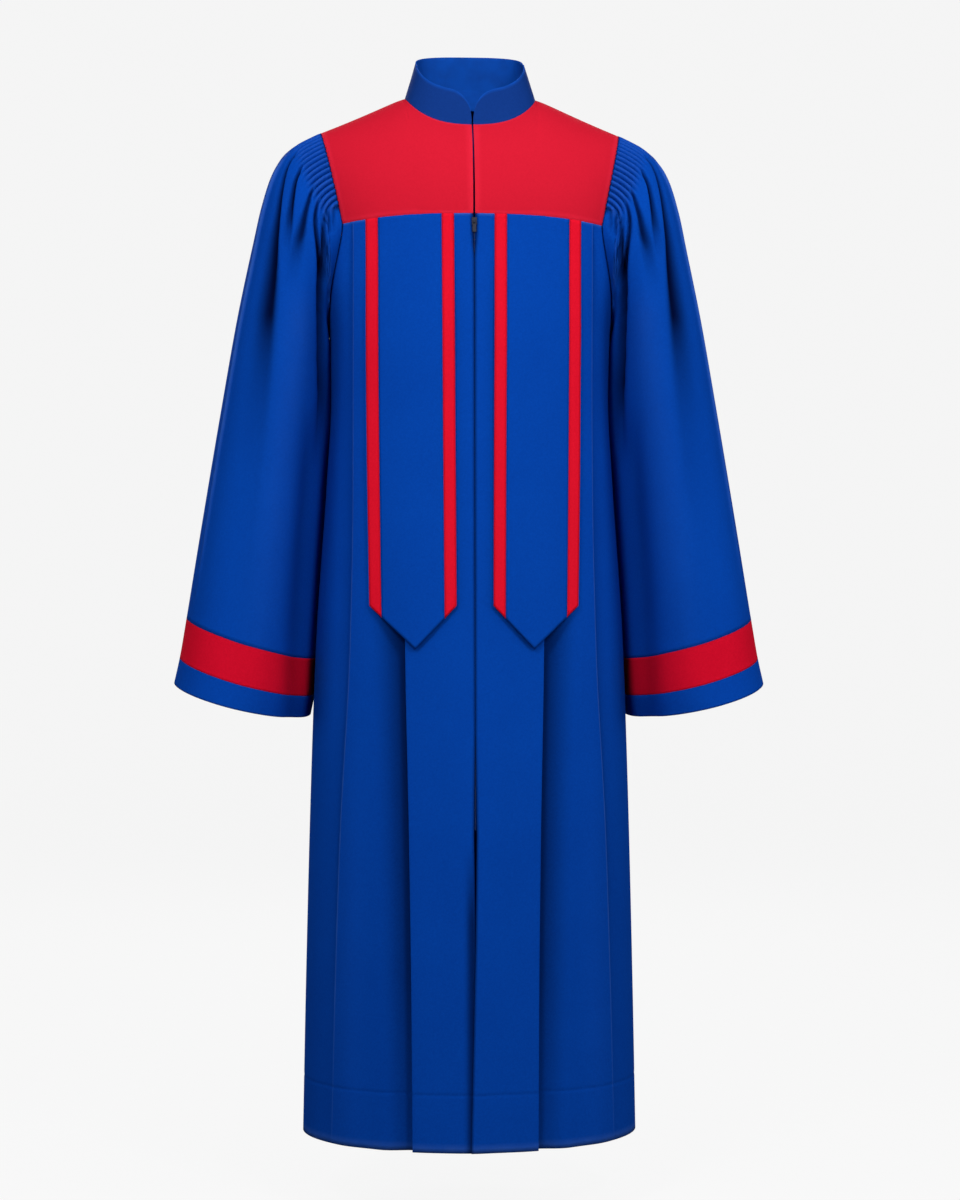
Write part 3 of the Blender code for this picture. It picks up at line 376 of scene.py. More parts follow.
@dataclass(frozen=True)
class YokeForm:
    """Outer form of the yoke, from the neckline and shoulder line down to its seam."""

    neck_half_width: float = 0.083
    front_neck_depth: float = 0.075
    back_neck_depth: float = 0.058
    front_neck_squareness: float = 3.2
    back_neck_squareness: float = 2.8
    crowding: float = 1.3
    shoulder_half_width: float = 0.190
    slope: float = 0.50
    easing: float = 0.55
    rounding: float = 0.012
    side_lift: float = 0.006
    back_rise: float = 0.047
    front_dip: float = 0.010
    bump_power: float = 1.5
    front_roundness: float = 1.95
    back_roundness: float = 2.0

    def ridge(self, face: Face, x: float) -> float:
        """Height of the shoulder line, carried on over the neck as the yoke's cut would have it."""
        past_neck = abs(x) - self.neck_half_width
        run = 0.5 * (past_neck + math.hypot(past_neck, self.rounding))
        bump = max(1.0 - (x / self.neck_half_width) ** 2, 0.0) ** self.bump_power
        rise = self.back_rise * bump if face is Face.BACK else -self.front_dip * bump
        return self.side_lift - self.slope * run + self.easing * run * run + rise

    def neckline(self, face: Face, share: float) -> tuple[float, float]:
        """Distances out and along of a point of the neckline, from its centre to its side."""
        front = face is Face.FRONT
        power = 2.0 / (self.front_neck_squareness if front else self.back_neck_squareness)
        depth = self.front_neck_depth if front else self.back_neck_depth
        angle = RIGHT_ANGLE * share ** self.crowding
        return (
            self.neck_half_width * math.sin(angle) ** power,
            depth * max(math.cos(angle), 0.0) ** power,
        )

    def point(self, face: Face, side: Side, top: tuple[float, float], share: float) -> Vector:
        """Point of the yoke below a point of its top edge.

        Args:
            face: Front or back.
            side: Wearer's side.
            top: Distances out and along of the point of the top edge.
            share: Share of the way down to the seam with the body.

        Returns:
            The point.
        """
        top_x, top_y = top
        seam_x = top_x * BODY.corner_x / self.shoulder_half_width
        seam_drop = BODY.yoke_seam(seam_x)
        depth = abs(BODY.at_x(Side.LEFT, face, seam_x, seam_drop).y)
        power = 2.0 / (self.front_roundness if face is Face.FRONT else self.back_roundness)
        start = math.asin(min(top_y / depth, 1.0) ** (1.0 / power))
        angle = lerp(start, RIGHT_ANGLE, share)
        fall = max(math.cos(angle), 0.0) ** power
        x = lerp(top_x, seam_x, 1.0 - fall / math.cos(start) ** power)
        height = lerp(-seam_drop, self.ridge(face, x), fall)
        return Vector((side.value * x, face.value * depth * math.sin(angle) ** power, height))

    def top_edge(self, face: Face, neck_steps: int, shoulder_steps: int) -> list[tuple[float, float]]:
        """Out and along distances of the top edge, round the neck and out on the shoulder."""
        edge = [self.neckline(face, step / neck_steps) for step in range(neck_steps + 1)]
        shoulder = spread(self.neck_half_width, self.shoulder_half_width, shoulder_steps, after_start=True)
        return edge + [(x, 0.0) for x in shoulder]


YOKE = YokeForm()


@dataclass(frozen=True)
class ArmholeForm:
    """Seam line of the left armhole, by turns: top, down the front, underarm and up the back."""

    yoke_steps: int = 14
    body_steps: int = 12

    @lru_cache(maxsize=None)
    def knots(self) -> tuple[tuple[float, Vector], ...]:
        """Turns and points of the seam line."""
        halves = {}
        for face in Face:
            top = (YOKE.shoulder_half_width, 0.0)
            half = []
            for step in range(self.yoke_steps):
                share = step / self.yoke_steps
                half.append((90.0 * share, YOKE.point(face, Side.LEFT, top, share)))
            for step in range(self.body_steps + 1):
                share = step / self.body_steps
                angle = BODY.armhole_angle(face, share)
                point = BODY.point(Side.LEFT, face, angle, BODY.armhole_drop(share))
                half.append((90.0 + 90.0 * share, point))
            halves[face] = half
        back = [(FULL_TURN - turn, point) for turn, point in reversed(halves[Face.BACK][:-1])]
        return tuple(halves[Face.FRONT] + back)

    def point(self, turn: float) -> Vector:
        """Point of the seam line at a turn."""
        knots = self.knots()
        turns = [knot[0] for knot in knots]
        wrapped = turn % FULL_TURN
        return Vector([float(np.interp(wrapped, turns, [knot[1][i] for knot in knots])) for i in range(3)])

    def turn_at(self, arc: float) -> float:
        """Turn where the seam line is an arc length down the front from its top."""
        knots = self.knots()
        for (start, first), (end, last) in zip(knots, knots[1:]):
            length = (last - first).length
            if arc <= length:
                return lerp(start, end, arc / length)
            arc -= length
        return knots[-1][0]


ARMHOLE = ArmholeForm()


@dataclass(frozen=True)
class SleeveForm:
    """Outer form of the left sleeve, by places that count its rings and turns round them."""

    cuff_place: float = 12.0
    forward: float = 0.010
    cuff_dip: float = 0.011

    @lru_cache(maxsize=None)
    def ring(self, place: float) -> SleeveRing:
        """Sizes of the ring at a place."""
        keys = list(range(len(SLEEVE_RINGS)))
        names = list(vars(SLEEVE_RINGS[0]))
        columns = [[getattr(ring, name) for ring in SLEEVE_RINGS] for name in names]
        return SleeveRing(*(smooth_between(keys, column, place) for column in columns))

    def ellipse_point(self, place: float, turn: float) -> Vector:
        """Point of a ring's plain oval."""
        ring = self.ring(place)
        outer = Vector((ring.outer_x, 0.0, -ring.outer_drop))
        inner = Vector((ring.inner_x, 0.0, -ring.inner_drop))
        centre = (outer + inner) / 2.0
        along = ease(place / self.cuff_place)
        ahead = Vector((0.0, -self.forward * along, 0.0))
        front = Vector((0.0, -ring.half_depth, -self.cuff_dip * along))
        angle = math.radians(turn)
        inner_share = (1.0 - math.cos(angle)) / 2.0
        back = Vector((0.0, ring.inner_back * inner_share ** 2, 0.0))
        return centre + ahead + back + (outer - centre) * math.cos(angle) + front * math.sin(angle)

    def point(self, place: float, turn: float) -> Vector:
        """Point of the sleeve's plain skin."""
        point = self.ellipse_point(place, turn)
        pull = self.ring(place).armhole_pull
        if pull > 0.0:
            point = point + (ARMHOLE.point(turn) - self.ellipse_point(0.0, turn)) * pull
        return point


SLEEVE = SleeveForm()


@dataclass(frozen=True)
class CreaseKnot:
    """Point of a crease's path on its piece, in the piece's own two coordinates.

    On the body across is the distance from the centre line and along the drop; on a sleeve across
    is the turn and along the place. Width is half the trough's and depth its own, negative for a
    ridge.
    """

    across: float
    along: float
    width: float
    depth: float


@dataclass(frozen=True)
class Crease:
    """Soft trough or ridge along a path.

    Bias widens the side that lies on the path's right, seen from outside as it runs on, and
    narrows the other. A higher sharpness makes the walls steeper and the bottom flatter. Shade
    scales the shade painted in a trough, and the highlight painted on a ridge, beyond what its depth alone
    gives.
    """

    knots: tuple[CreaseKnot, ...]
    bias: float = 0.0
    sharpness: float = 2.0
    shade: float = 1.0
    steps: int = 8

    def path(self, place_on: Skin) -> tuple[np.ndarray, ...]:
        """Points, widths and depths along the crease.

        Args:
            place_on: Point of the plain form at the piece's own two coordinates.

        Returns:
            Arrays of points, widths and depths.
        """
        keys = list(range(len(self.knots)))
        ats = np.linspace(0, keys[-1], self.steps * keys[-1] + 1)
        across, along, widths, depths = (
            [smooth_between(keys, [getattr(knot, name) for knot in self.knots], at) for at in ats]
            for name in ("across", "along", "width", "depth")
        )
        points = [place_on(*spot) for spot in zip(across, along)]
        return np.array(points), np.array(widths), np.array(depths)

    def press(self, points: np.ndarray, normals: np.ndarray, path: tuple[np.ndarray, ...]) -> tuple:
        """How a crease moves each point of a grid, and how much shade is then painted on the point in the
        fold.

        Args:
            points: Points of the grid, one a row.
            normals: Their outward normals.
            path: The crease's points, widths and depths.

        Returns:
            Movement of each point, and the shade painted on it in the fold, below 0 for a highlight painted
            on a ridge.
        """
        line, widths, depths = path
        reach = CREASE_REACH * widths.max()
        low, high = line.min(0) - reach, line.max(0) + reach
        near = np.flatnonzero(((points > low) & (points < high)).all(1))
        moves = np.zeros(points.shape)
        painted_shade = np.zeros(len(points))
        if not len(near):
            return moves, painted_shade
        spots = points[near]
        best = np.full(len(near), np.inf)
        offset = np.zeros((len(near), 3))
        tangent = np.zeros((len(near), 3))
        width = np.ones(len(near))
        depth = np.zeros(len(near))
        for index in range(len(line) - 1):
            run = line[index + 1] - line[index]
            share = np.clip(((spots - line[index]) @ run) / max(run @ run, TINY), 0.0, 1.0)
            away = spots - (line[index] + share[:, None] * run)
            distance = np.linalg.norm(away, axis=1)
            closer = distance < best
            best[closer] = distance[closer]
            offset[closer] = away[closer]
            tangent[closer] = run
            width[closer] = (widths[index] + share * (widths[index + 1] - widths[index]))[closer]
            depth[closer] = (depths[index] + share * (depths[index + 1] - depths[index]))[closer]
        hand = np.sign(np.einsum("ij,ij->i", np.cross(tangent, offset), normals[near]))
        scaled = best / (width * (1.0 + self.bias * hand))
        moves[near] = -normals[near] * (depth * np.exp(-scaled ** self.sharpness))[:, None]
        # Shade painted in a trough, and a highlight painted on a ridge (below 0), by how deep and steep the
        # crease is.
        steep = np.clip(depth / FULL_FOLD, -1.0, 1.0) * np.clip(np.abs(depth) / width, 0.0, 1.0)
        spread_out = np.exp(-(scaled * FOLD_SHADE_SPREAD) ** FOLD_SHADE_POWER)
        painted_shade[near] = np.clip(steep * self.shade, -1.0, 1.0) * spread_out
        return moves, painted_shade


def crease(*knots: tuple[float, float, float, float], **options: float) -> Crease:
    """Crease through knots, each given as its across, along, width and depth."""
    return Crease(tuple(CreaseKnot(*knot) for knot in knots), **options)


@dataclass
class ClothGrid:
    """Rows and columns of points of a piece of cloth, in its worn form."""

    points: np.ndarray
    inside: Vector
    closed: bool = False
    # press holds pressed edges and painted highlights, which lighten the colour; the mark below it holds
    # painted shade, which darkens it.
    press: np.ndarray = field(init=False)
    painted_shade: np.ndarray = field(init=False)

    def __post_init__(self) -> None:
        """Start with no pressed edges, painted highlights or painted shade."""
        self.press = np.zeros(self.points.shape[:2])
        self.painted_shade = np.zeros(self.points.shape[:2])

    @classmethod
    def from_rows(cls, rows: Sequence[Sequence[Vector]], inside: Vector, closed: bool = False) -> "ClothGrid":
        """Grid of rows of points with the same number in each."""
        return cls(np.array([[tuple(point) for point in row] for row in rows]), inside, closed)

    def normals(self) -> np.ndarray:
        """Outward unit normals of the grid's points."""
        down = np.gradient(self.points, axis=0)
        if self.closed:
            around = (np.roll(self.points, -1, axis=1) - np.roll(self.points, 1, axis=1)) / 2.0
        else:
            around = np.gradient(self.points, axis=1)
        normals = np.cross(down, around)
        normals /= np.maximum(np.linalg.norm(normals, axis=2, keepdims=True), TINY)
        away = self.points - np.array(self.inside)
        if np.einsum("ijk,ijk->", normals, away) < 0.0:
            normals = -normals
        return normals

    def move(self, outward: np.ndarray) -> None:
        """Move each point outward by its own distance."""
        self.points = self.points + self.normals() * outward[:, :, None]

    def fold(self, creases: Iterable[Crease], place_on: Skin) -> None:
        """Press creases into the grid, and paint their shade and highlights.

        Args:
            creases: Creases of the piece.
            place_on: Point of the plain form at the piece's own two coordinates.
        """
        flat = self.points.reshape(-1, 3)
        normals = self.normals().reshape(-1, 3)
        moves = np.zeros(flat.shape)
        painted_shade = self.painted_shade.reshape(-1)
        press = self.press.reshape(-1)
        for one in creases:
            move, shade = one.press(flat, normals, one.path(place_on))
            moves += move
            painted_shade = np.maximum(painted_shade, shade)
            press = np.maximum(press, -shade)
        self.painted_shade = painted_shade.reshape(self.painted_shade.shape)
        self.press = press.reshape(self.press.shape)
        self.points = (flat + moves).reshape(self.points.shape)

    def paint_shade(self, marks: np.ndarray) -> None:
        """Paint shade on points, where they haven't darker painted shade yet."""
        self.painted_shade = np.maximum(self.painted_shade, marks)

    def paint_highlight(self, marks: np.ndarray) -> None:
        """Paint highlights on points, where they haven't stronger ones yet."""
        self.press = np.maximum(self.press, marks)

    def draw_in(self, edge: Edge, gap: float) -> None:
        """Draw an edge in by its seam gap."""
        lines = edge.lines(self.points)
        step = lines[1] - lines[0]
        lines[0] += step / np.linalg.norm(step, axis=1, keepdims=True) * gap

    def mark(self, edge: Edge) -> None:
        """Mark an edge as pressed, and the line beside it by half as much."""
        lines = edge.lines(self.press)
        for index, strength in enumerate((1.0, 0.5)):
            lines[index] = np.maximum(lines[index], strength)

    def shade_seam(self, reach: float, strength: float) -> None:
        """Paint shade on the cloth beside its top edge, where it sinks into a seam.

        Args:
            reach: How far down the cloth the mark goes.
            strength: Its strength at the edge.
        """
        steps = np.linalg.norm(np.diff(self.points, axis=0, prepend=self.points[:1]), axis=2)
        away = np.cumsum(steps, axis=0)
        self.paint_shade(strength * np.clip(SEAM_SHADE_START - away / reach, 0.0, 1.0))

    def shade(self, edge: Edge, strength: float) -> None:
        """Paint shade on the very edge, where the cloth sinks into a seam."""
        edge.lines(self.painted_shade)[0] = strength

    def turn_in(self, edge: Edge, depth: float) -> None:
        """Turn an edge to the inside, as a seam allowance or a hem does.

        Args:
            edge: Edge to turn.
            depth: How far it goes inside.
        """
        line, near = edge.lines(self.points)[:2]
        normal = edge.lines(self.normals())[0]
        outward = line - near
        outward = outward / np.maximum(np.linalg.norm(outward, axis=1, keepdims=True), TINY)
        bend = min(depth, EDGE_BEND)
        end = line + outward * bend * 0.35 - normal * depth
        rounding = line + outward * bend * 0.3 - normal * bend * 0.5
        self.points = edge.grown(self.points, (end, rounding))
        self.press = edge.grown(self.press, (edge.lines(self.press)[0],) * 2)
        self.painted_shade = edge.grown(self.painted_shade, (edge.lines(self.painted_shade)[0],) * 2)

    def cloth_coordinates(self) -> tuple[np.ndarray, np.ndarray]:
        """Lengths along the cloth: across each row and down each column, the last column again if closed."""
        points = self.points
        if self.closed:
            points = np.concatenate([points, points[:, :1]], axis=1)
        across = np.zeros(points.shape[:2])
        across[:, 1:] = np.cumsum(np.linalg.norm(np.diff(points, axis=1), axis=2), axis=1)
        across -= across[:, -1:] / 2.0
        down = np.zeros(points.shape[:2])
        down[1:] = np.cumsum(np.linalg.norm(np.diff(points, axis=0), axis=2), axis=0)
        return across, down

    def shell(self, name: str, thickness: float) -> bpy.types.Object:
        """Object of the grid with a cloth's thickness on its inside.

        Args:
            name: Name of the piece.
            thickness: Thickness of the cloth.

        Returns:
            The object.
        """
        rows, columns = self.points.shape[:2]
        spans = columns if self.closed else columns - 1
        row, column = np.meshgrid(np.arange(rows - 1), np.arange(spans), indexing="ij")
        corners = [(row, column), (row + 1, column), (row + 1, column + 1), (row, column + 1)]
        faces = np.stack([r * columns + c % columns for r, c in corners], axis=-1).reshape(-1, 4)
        normals = self.normals().reshape(-1, 3)
        flat = self.points.reshape(-1, 3)
        first = np.cross(flat[faces[:, 1]] - flat[faces[:, 0]], flat[faces[:, 3]] - flat[faces[:, 0]])
        if (first * normals[faces[:, 0]]).sum() < 0.0:
            faces = faces[:, ::-1]
            corners = corners[::-1]
        mesh = bpy.data.meshes.new(name)
        mesh.from_pydata(flat.tolist(), [], faces.tolist())
        across, down = self.cloth_coordinates()
        picked = [np.stack([across[r, c], down[r, c]], axis=-1) for r, c in corners]
        layer = mesh.uv_layers.new(name="cloth")
        layer.data.foreach_set("uv", np.stack(picked, axis=2).reshape(-1))
        # The first mark holds pressed edges and painted highlights, the second painted shade.
        for label, values in (("pressed", self.press), ("painted_shade", self.painted_shade)):
            mark = mesh.attributes.new(label, "FLOAT", "POINT")
            mark.data.foreach_set("value", values.reshape(-1).astype(np.float32))
        mesh.shade_smooth()
        piece = add_object(name, mesh)
        solidify = piece.modifiers.new("cloth", "SOLIDIFY")
        solidify.thickness = thickness
        solidify.offset = -1.0
        solidify.use_even_offset = False
        return piece


def add_object(name: str, data: bpy.types.ID) -> bpy.types.Object:
    """New object of some data, linked to the scene."""
    made = bpy.data.objects.new(name, data)
    bpy.context.scene.collection.objects.link(made)
    return made


def feed(tree: Tree, node: Node, values: dict[str | int, Socket | Colour | float]) -> Node:
    """Give inputs of a node what they take.

    Args:
        tree: Node tree that the node is in.
        node: The node.
        values: Socket, number or plain colour of each input, by its name or number.

    Returns:
        The node.
    """
    for label, value in values.items():
        if isinstance(value, bpy.types.NodeSocket):
            tree.links.new(value, node.inputs[label])
        else:
            node.inputs[label].default_value = (*value, 1.0) if isinstance(value, tuple) else value
    return node


def add_math(tree: Tree, kind: str, *values: Socket | float) -> Socket:
    """Math node on sockets or numbers."""
    node = tree.nodes.new("ShaderNodeMath")
    node.operation = kind
    return feed(tree, node, dict(enumerate(values))).outputs[0]


def add_mix(tree: Tree, share: Socket, first: Socket | Colour, second: Socket | Colour) -> Socket:
    """Mix of two colours by a share."""
    node = tree.nodes.new("ShaderNodeMix")
    node.data_type = "RGBA"
    return feed(tree, node, {0: share, 6: first, 7: second}).outputs[2]


def add_noise(tree: Tree, scale: float, detail: float, source: Socket | None = None) -> Socket:
    """Noise at a scale in turns a metre, over some coordinates or else over the object's own."""
    source = source or tree.nodes.new("ShaderNodeTexCoord").outputs["Object"]
    node = tree.nodes.new("ShaderNodeTexNoise")
    return feed(tree, node, {"Vector": source, "Scale": scale, "Detail": detail}).outputs["Fac"]


def add_mark(tree: Tree, name: str) -> Socket:
    """Mark that the mesh has at each point, by its name."""
    node = tree.nodes.new("ShaderNodeAttribute")
    node.attribute_name = name
    return node.outputs["Fac"]


def add_bump(tree: Tree, height: Socket, strength: float, distance: float) -> Socket:
    """Bump of a height."""
    node = tree.nodes.new("ShaderNodeBump")
    return feed(tree, node, {"Height": height, "Strength": strength, "Distance": distance}).outputs["Normal"]


class NodeGroup:
    """Base of a shader node group that is built once and placed in many materials.

    Inputs have their first values by name. A socket with Colour in its name holds a colour, and
    any other a number.
    """

    name = ""
    inputs: dict[str, Colour | float] = {}
    outputs: tuple[str, ...] = ()

    def tree(self) -> Tree:
        """The group's node tree, built the first time."""
        tree = bpy.data.node_groups.get(self.name)
        if tree is None:
            tree = bpy.data.node_groups.new(self.name, "ShaderNodeTree")
            for way, labels in (("INPUT", self.inputs), ("OUTPUT", self.outputs)):
                for label in labels:
                    kind = "NodeSocketColor" if "Colour" in label else "NodeSocketFloat"
                    tree.interface.new_socket(name=label, in_out=way, socket_type=kind)
            start = tree.nodes.new("NodeGroupInput")
            feed(tree, tree.nodes.new("NodeGroupOutput"), self.wire(tree, start.outputs))
        return tree

    def wire(self, tree: Tree, given: bpy.types.NodeOutputs) -> dict[str, Socket]:
        """Place and link the group's nodes after its inputs, and say what its outputs follow."""
        raise NotImplementedError

    def place(self, tree: Tree, **values: Socket | Colour | float) -> Node:
        """Place the group in a material.

        Args:
            tree: The material's node tree.
            **values: What inputs take, by their names with underscores for spaces.

        Returns:
            The group node.
        """
        node = tree.nodes.new("ShaderNodeGroup")
        node.node_tree = self.tree()
        named = {label.replace("_", " "): value for label, value in values.items()}
        return feed(tree, node, {**self.inputs, **named})


class Weave(NodeGroup):
    """Plain weave along the cloth's own grain, with uneven threads."""

    name = "plain_weave"
    inputs = {"Threads a Metre": 1800.0, "Unevenness": 0.3}
    outputs = ("Height",)
    slub_scale = 900.0

    def wire(self, tree: Tree, given: bpy.types.NodeOutputs) -> dict[str, Socket]:
        """Cross two waves along the grain and rough them with noise."""
        cloth = tree.nodes.new("ShaderNodeUVMap")
        cloth.uv_map = "cloth"
        parts = tree.nodes.new("ShaderNodeSeparateXYZ")
        tree.links.new(cloth.outputs["UV"], parts.inputs[0])
        waves = []
        for axis in (0, 1):
            turns = add_math(tree, "MULTIPLY", parts.outputs[axis], given["Threads a Metre"])
            waves.append(add_math(tree, "SINE", add_math(tree, "MULTIPLY", turns, math.pi)))
        crossing = add_math(tree, "MULTIPLY", *waves)
        slub = add_noise(tree, self.slub_scale, 2.0, cloth.outputs["UV"])
        rough = add_math(tree, "MULTIPLY", add_math(tree, "SUBTRACT", slub, 0.5), given["Unevenness"])
        raised = add_math(tree, "ADD", add_math(tree, "MULTIPLY", crossing, 0.5), 0.5)
        return {"Height": add_math(tree, "ADD", raised, rough)}


class Dye(NodeGroup):
    """Dyed colour that drifts broadly over the cloth and is flecked finely from thread to thread."""

    name = "dye"
    inputs = {"Colour": GREY, "Deep Colour": GREY, "Drift": 0.3, "Fleck": 0.3}
    outputs = ("Colour",)
    drift_scale = 9.0
    fleck_scale = 420.0

    def wire(self, tree: Tree, given: bpy.types.NodeOutputs) -> dict[str, Socket]:
        """Mix the two dyes by a broad noise and a fine one."""
        broad = add_math(tree, "MULTIPLY", add_noise(tree, self.drift_scale, 2.0), given["Drift"])
        fine = add_math(tree, "MULTIPLY", add_noise(tree, self.fleck_scale, 3.0), given["Fleck"])
        share = add_math(tree, "ADD", broad, fine)
        return {"Colour": add_mix(tree, share, given["Colour"], given["Deep Colour"])}


class PressedEdgeAndHighlight(NodeGroup):
    """Pressed folds and seams, and highlights painted on crests and ridges: the colour there is painted
    lighter, as sheen would make it, and the cloth is smoother.
    """

    name = "pressed_edge_and_highlight"
    inputs = {"Colour": GREY, "Pressed Colour": GREY, "Roughness": 0.7, "Shine": 0.15}
    outputs = ("Colour", "Roughness")
    wear_scale = 60.0
    least_wear = 0.35

    def wire(self, tree: Tree, given: bpy.types.NodeOutputs) -> dict[str, Socket]:
        """Read the mark of pressed edges and painted highlights, broken up by noise."""
        # Noise breaks the pressed edges and the painted highlights up into patches.
        worn = add_math(tree, "ADD", add_noise(tree, self.wear_scale, 2.0), self.least_wear)
        share = add_math(tree, "MULTIPLY", add_mark(tree, "pressed"), worn)
        shine = add_math(tree, "MULTIPLY", share, given["Shine"])
        return {
            "Colour": add_mix(tree, share, given["Colour"], given["Pressed Colour"]),
            "Roughness": add_math(tree, "SUBTRACT", given["Roughness"], shine),
        }


class PaintedFoldShade(NodeGroup):
    """Painted shade: cloth inside a fold or a seam, darkened where shade would fall."""

    name = "painted_fold_shade"
    inputs = {"Colour": GREY, "Fold Colour": GREY}
    outputs = ("Colour",)

    def wire(self, tree: Tree, given: bpy.types.NodeOutputs) -> dict[str, Socket]:
        """Read the painted shade mark of the mesh and mix the dark shade colour in by it."""
        return {"Colour": add_mix(tree, add_mark(tree, "painted_shade"), given["Colour"], given["Fold Colour"])}


def start_material(name: str) -> tuple[bpy.types.Material, Tree, Node]:
    """New node material, with its tree and its shader."""
    material = bpy.data.materials.new(name)
    material.use_nodes = True
    return material, material.node_tree, material.node_tree.nodes["Principled BSDF"]


@dataclass(frozen=True)
class Finish:
    """Finish of a piece, with the slot that it has in the record."""

    name: str
    slot: str
    colour: Colour

    def material(self, piece: str) -> bpy.types.Material:
        """Material of this finish for a piece."""
        raise NotImplementedError

    def dress(self, piece: bpy.types.Object) -> None:
        """Give a piece this finish."""
        piece.data.materials.clear()
        piece.data.materials.append(self.material(piece.name))


@dataclass(frozen=True)
class ClothFinish(Finish):
    """Finish of a woven cloth."""

    deep: Colour
    # The pressed colour lightens pressed edges and painted highlights; the fold colour is painted shade in
    # folds and seams.
    pressed: Colour
    fold: Colour
    sheen_tint: Colour
    sheen: float = 0.015
    sheen_roughness: float = 0.35
    roughness: float = 0.78
    specular: float = 0.02
    specular_tint: Colour = (0.35, 0.6, 1.0)
    threads: float = 1800.0
    bump: float = 0.5
    relief: float = 0.00012
    drift: float = 0.24
    fleck: float = 0.62

    def material(self, piece: str) -> bpy.types.Material:
        """Material of woven, dyed cloth for a piece."""
        material, tree, shader = start_material(f"{piece}_{self.name}")
        dye = Dye().place(tree, Colour=self.colour, Deep_Colour=self.deep, Drift=self.drift, Fleck=self.fleck)
        edge = PressedEdgeAndHighlight().place(tree, Colour=dye.outputs["Colour"], Pressed_Colour=self.pressed,
                                   Roughness=self.roughness)
        # Painted shade in folds and seams over the colour.
        fold = PaintedFoldShade().place(tree, Colour=edge.outputs["Colour"], Fold_Colour=self.fold)
        weave = Weave().place(tree, Threads_a_Metre=self.threads)
        feed(tree, shader, {
            "Base Color": fold.outputs["Colour"],
            "Roughness": edge.outputs["Roughness"],
            "Normal": add_bump(tree, weave.outputs["Height"], self.bump, self.relief),
            "Specular IOR Level": self.specular,
            "Specular Tint": self.specular_tint,
            "Sheen Weight": self.sheen,
            "Sheen Roughness": self.sheen_roughness,
            "Sheen Tint": self.sheen_tint,
        })
        material.diffuse_color = (*self.colour, 1.0)
        return material


BLUE_CLOTH = ClothFinish(
    name="royal_blue_cloth", slot="blue_cloth",
    colour=(0.0024, 0.072, 0.470), deep=(0.0010, 0.033, 0.268), pressed=(0.0320, 0.106, 0.445),
    fold=(0.0005, 0.003, 0.030),
    sheen_tint=(0.16, 0.45, 1.0), specular_tint=(0.12, 0.45, 1.0),
)
RED_CLOTH = ClothFinish(
    name="red_cloth", slot="red_cloth",
    colour=(0.67, 0.013, 0.036), deep=(0.54, 0.008, 0.023), pressed=(0.74, 0.018, 0.046),
    fold=(0.10, 0.001, 0.004),
    sheen_tint=(1.0, 0.45, 0.5), specular_tint=(1.0, 0.4, 0.4),
)
# The collar's pressed colour, much lighter, is also the light painted over the back of the collar.
COLLAR_CLOTH = replace(
    BLUE_CLOTH, name="stiffened_collar_cloth", colour=(0.0070, 0.0440, 0.250), deep=(0.0045, 0.027, 0.170),
    pressed=(0.0050, 0.070, 0.42),
)
BAND_CLOTH = replace(
    RED_CLOTH, name="red_band_cloth", colour=(0.86, 0.009, 0.032), deep=(0.64, 0.004, 0.016),
    pressed=(0.88, 0.012, 0.036),
)
SLEEVE_BAND_CLOTH = replace(
    RED_CLOTH, name="red_sleeve_band_cloth", colour=(0.76, 0.006, 0.032), deep=(0.50, 0.002, 0.013),
    pressed=(0.72, 0.008, 0.030),
)
BLUE_LINING = ClothFinish(
    name="blue_lining", slot="blue_lining",
    colour=(0.004, 0.040, 0.24), deep=(0.003, 0.030, 0.20), pressed=(0.006, 0.05, 0.28),
    fold=(0.001, 0.01, 0.06),
    sheen_tint=(0.4, 0.6, 1.0), roughness=0.5, threads=2400.0, relief=0.00006,
)
BLUE_TAPE = ClothFinish(
    name="zip_tape", slot="zip_tape",
    colour=(0.003, 0.030, 0.20), deep=(0.002, 0.020, 0.15), pressed=(0.005, 0.04, 0.24),
    fold=(0.001, 0.008, 0.05),
    sheen_tint=(0.4, 0.6, 1.0), sheen=0.05, roughness=0.75, threads=1200.0, relief=0.0002,
)


@dataclass(frozen=True)
class HardFinish(Finish):
    """Finish of the zip's hard pieces, worn a little paler in places."""

    worn: Colour
    metallic: float
    roughness: float
    grain: float
    unevenness: float = 0.1
    patch_scale: float = 500.0
    bump: float = 0.3
    relief: float = 0.00004

    def material(self, piece: str) -> bpy.types.Material:
        """Material of smooth, lightly scratched metal or nylon for a piece."""
        material, tree, shader = start_material(f"{piece}_{self.name}")
        patches = add_math(tree, "MULTIPLY", add_noise(tree, self.patch_scale, 2.0), 0.5)
        scratches = add_noise(tree, self.grain, 3.0)
        uneven = add_math(tree, "MULTIPLY", scratches, 2.0 * self.unevenness)
        feed(tree, shader, {
            "Base Color": add_mix(tree, patches, self.colour, self.worn),
            "Roughness": add_math(tree, "ADD", uneven, self.roughness - self.unevenness),
            "Normal": add_bump(tree, scratches, self.bump, self.relief),
            "Metallic": self.metallic,
        })
        material.diffuse_color = (*self.colour, 1.0)
        return material


ZIP_METAL = HardFinish(
    name="lacquered_metal", slot="zip_metal",
    colour=(0.003, 0.005, 0.022), worn=(0.010, 0.014, 0.050), metallic=0.0, roughness=0.6, grain=2500.0,
)
ZIP_COIL = HardFinish(
    name="nylon_coil", slot="zip_coil",
    colour=(0.003, 0.022, 0.14), worn=(0.006, 0.035, 0.2), metallic=0.0, roughness=0.42, grain=1500.0,
)


@dataclass(frozen=True)
class Cut:
    """Flat size that a piece was cut to, and how it is held."""

    width: float
    length: float
    area: float
    held: str
    rests_on: tuple[str, ...] = ()


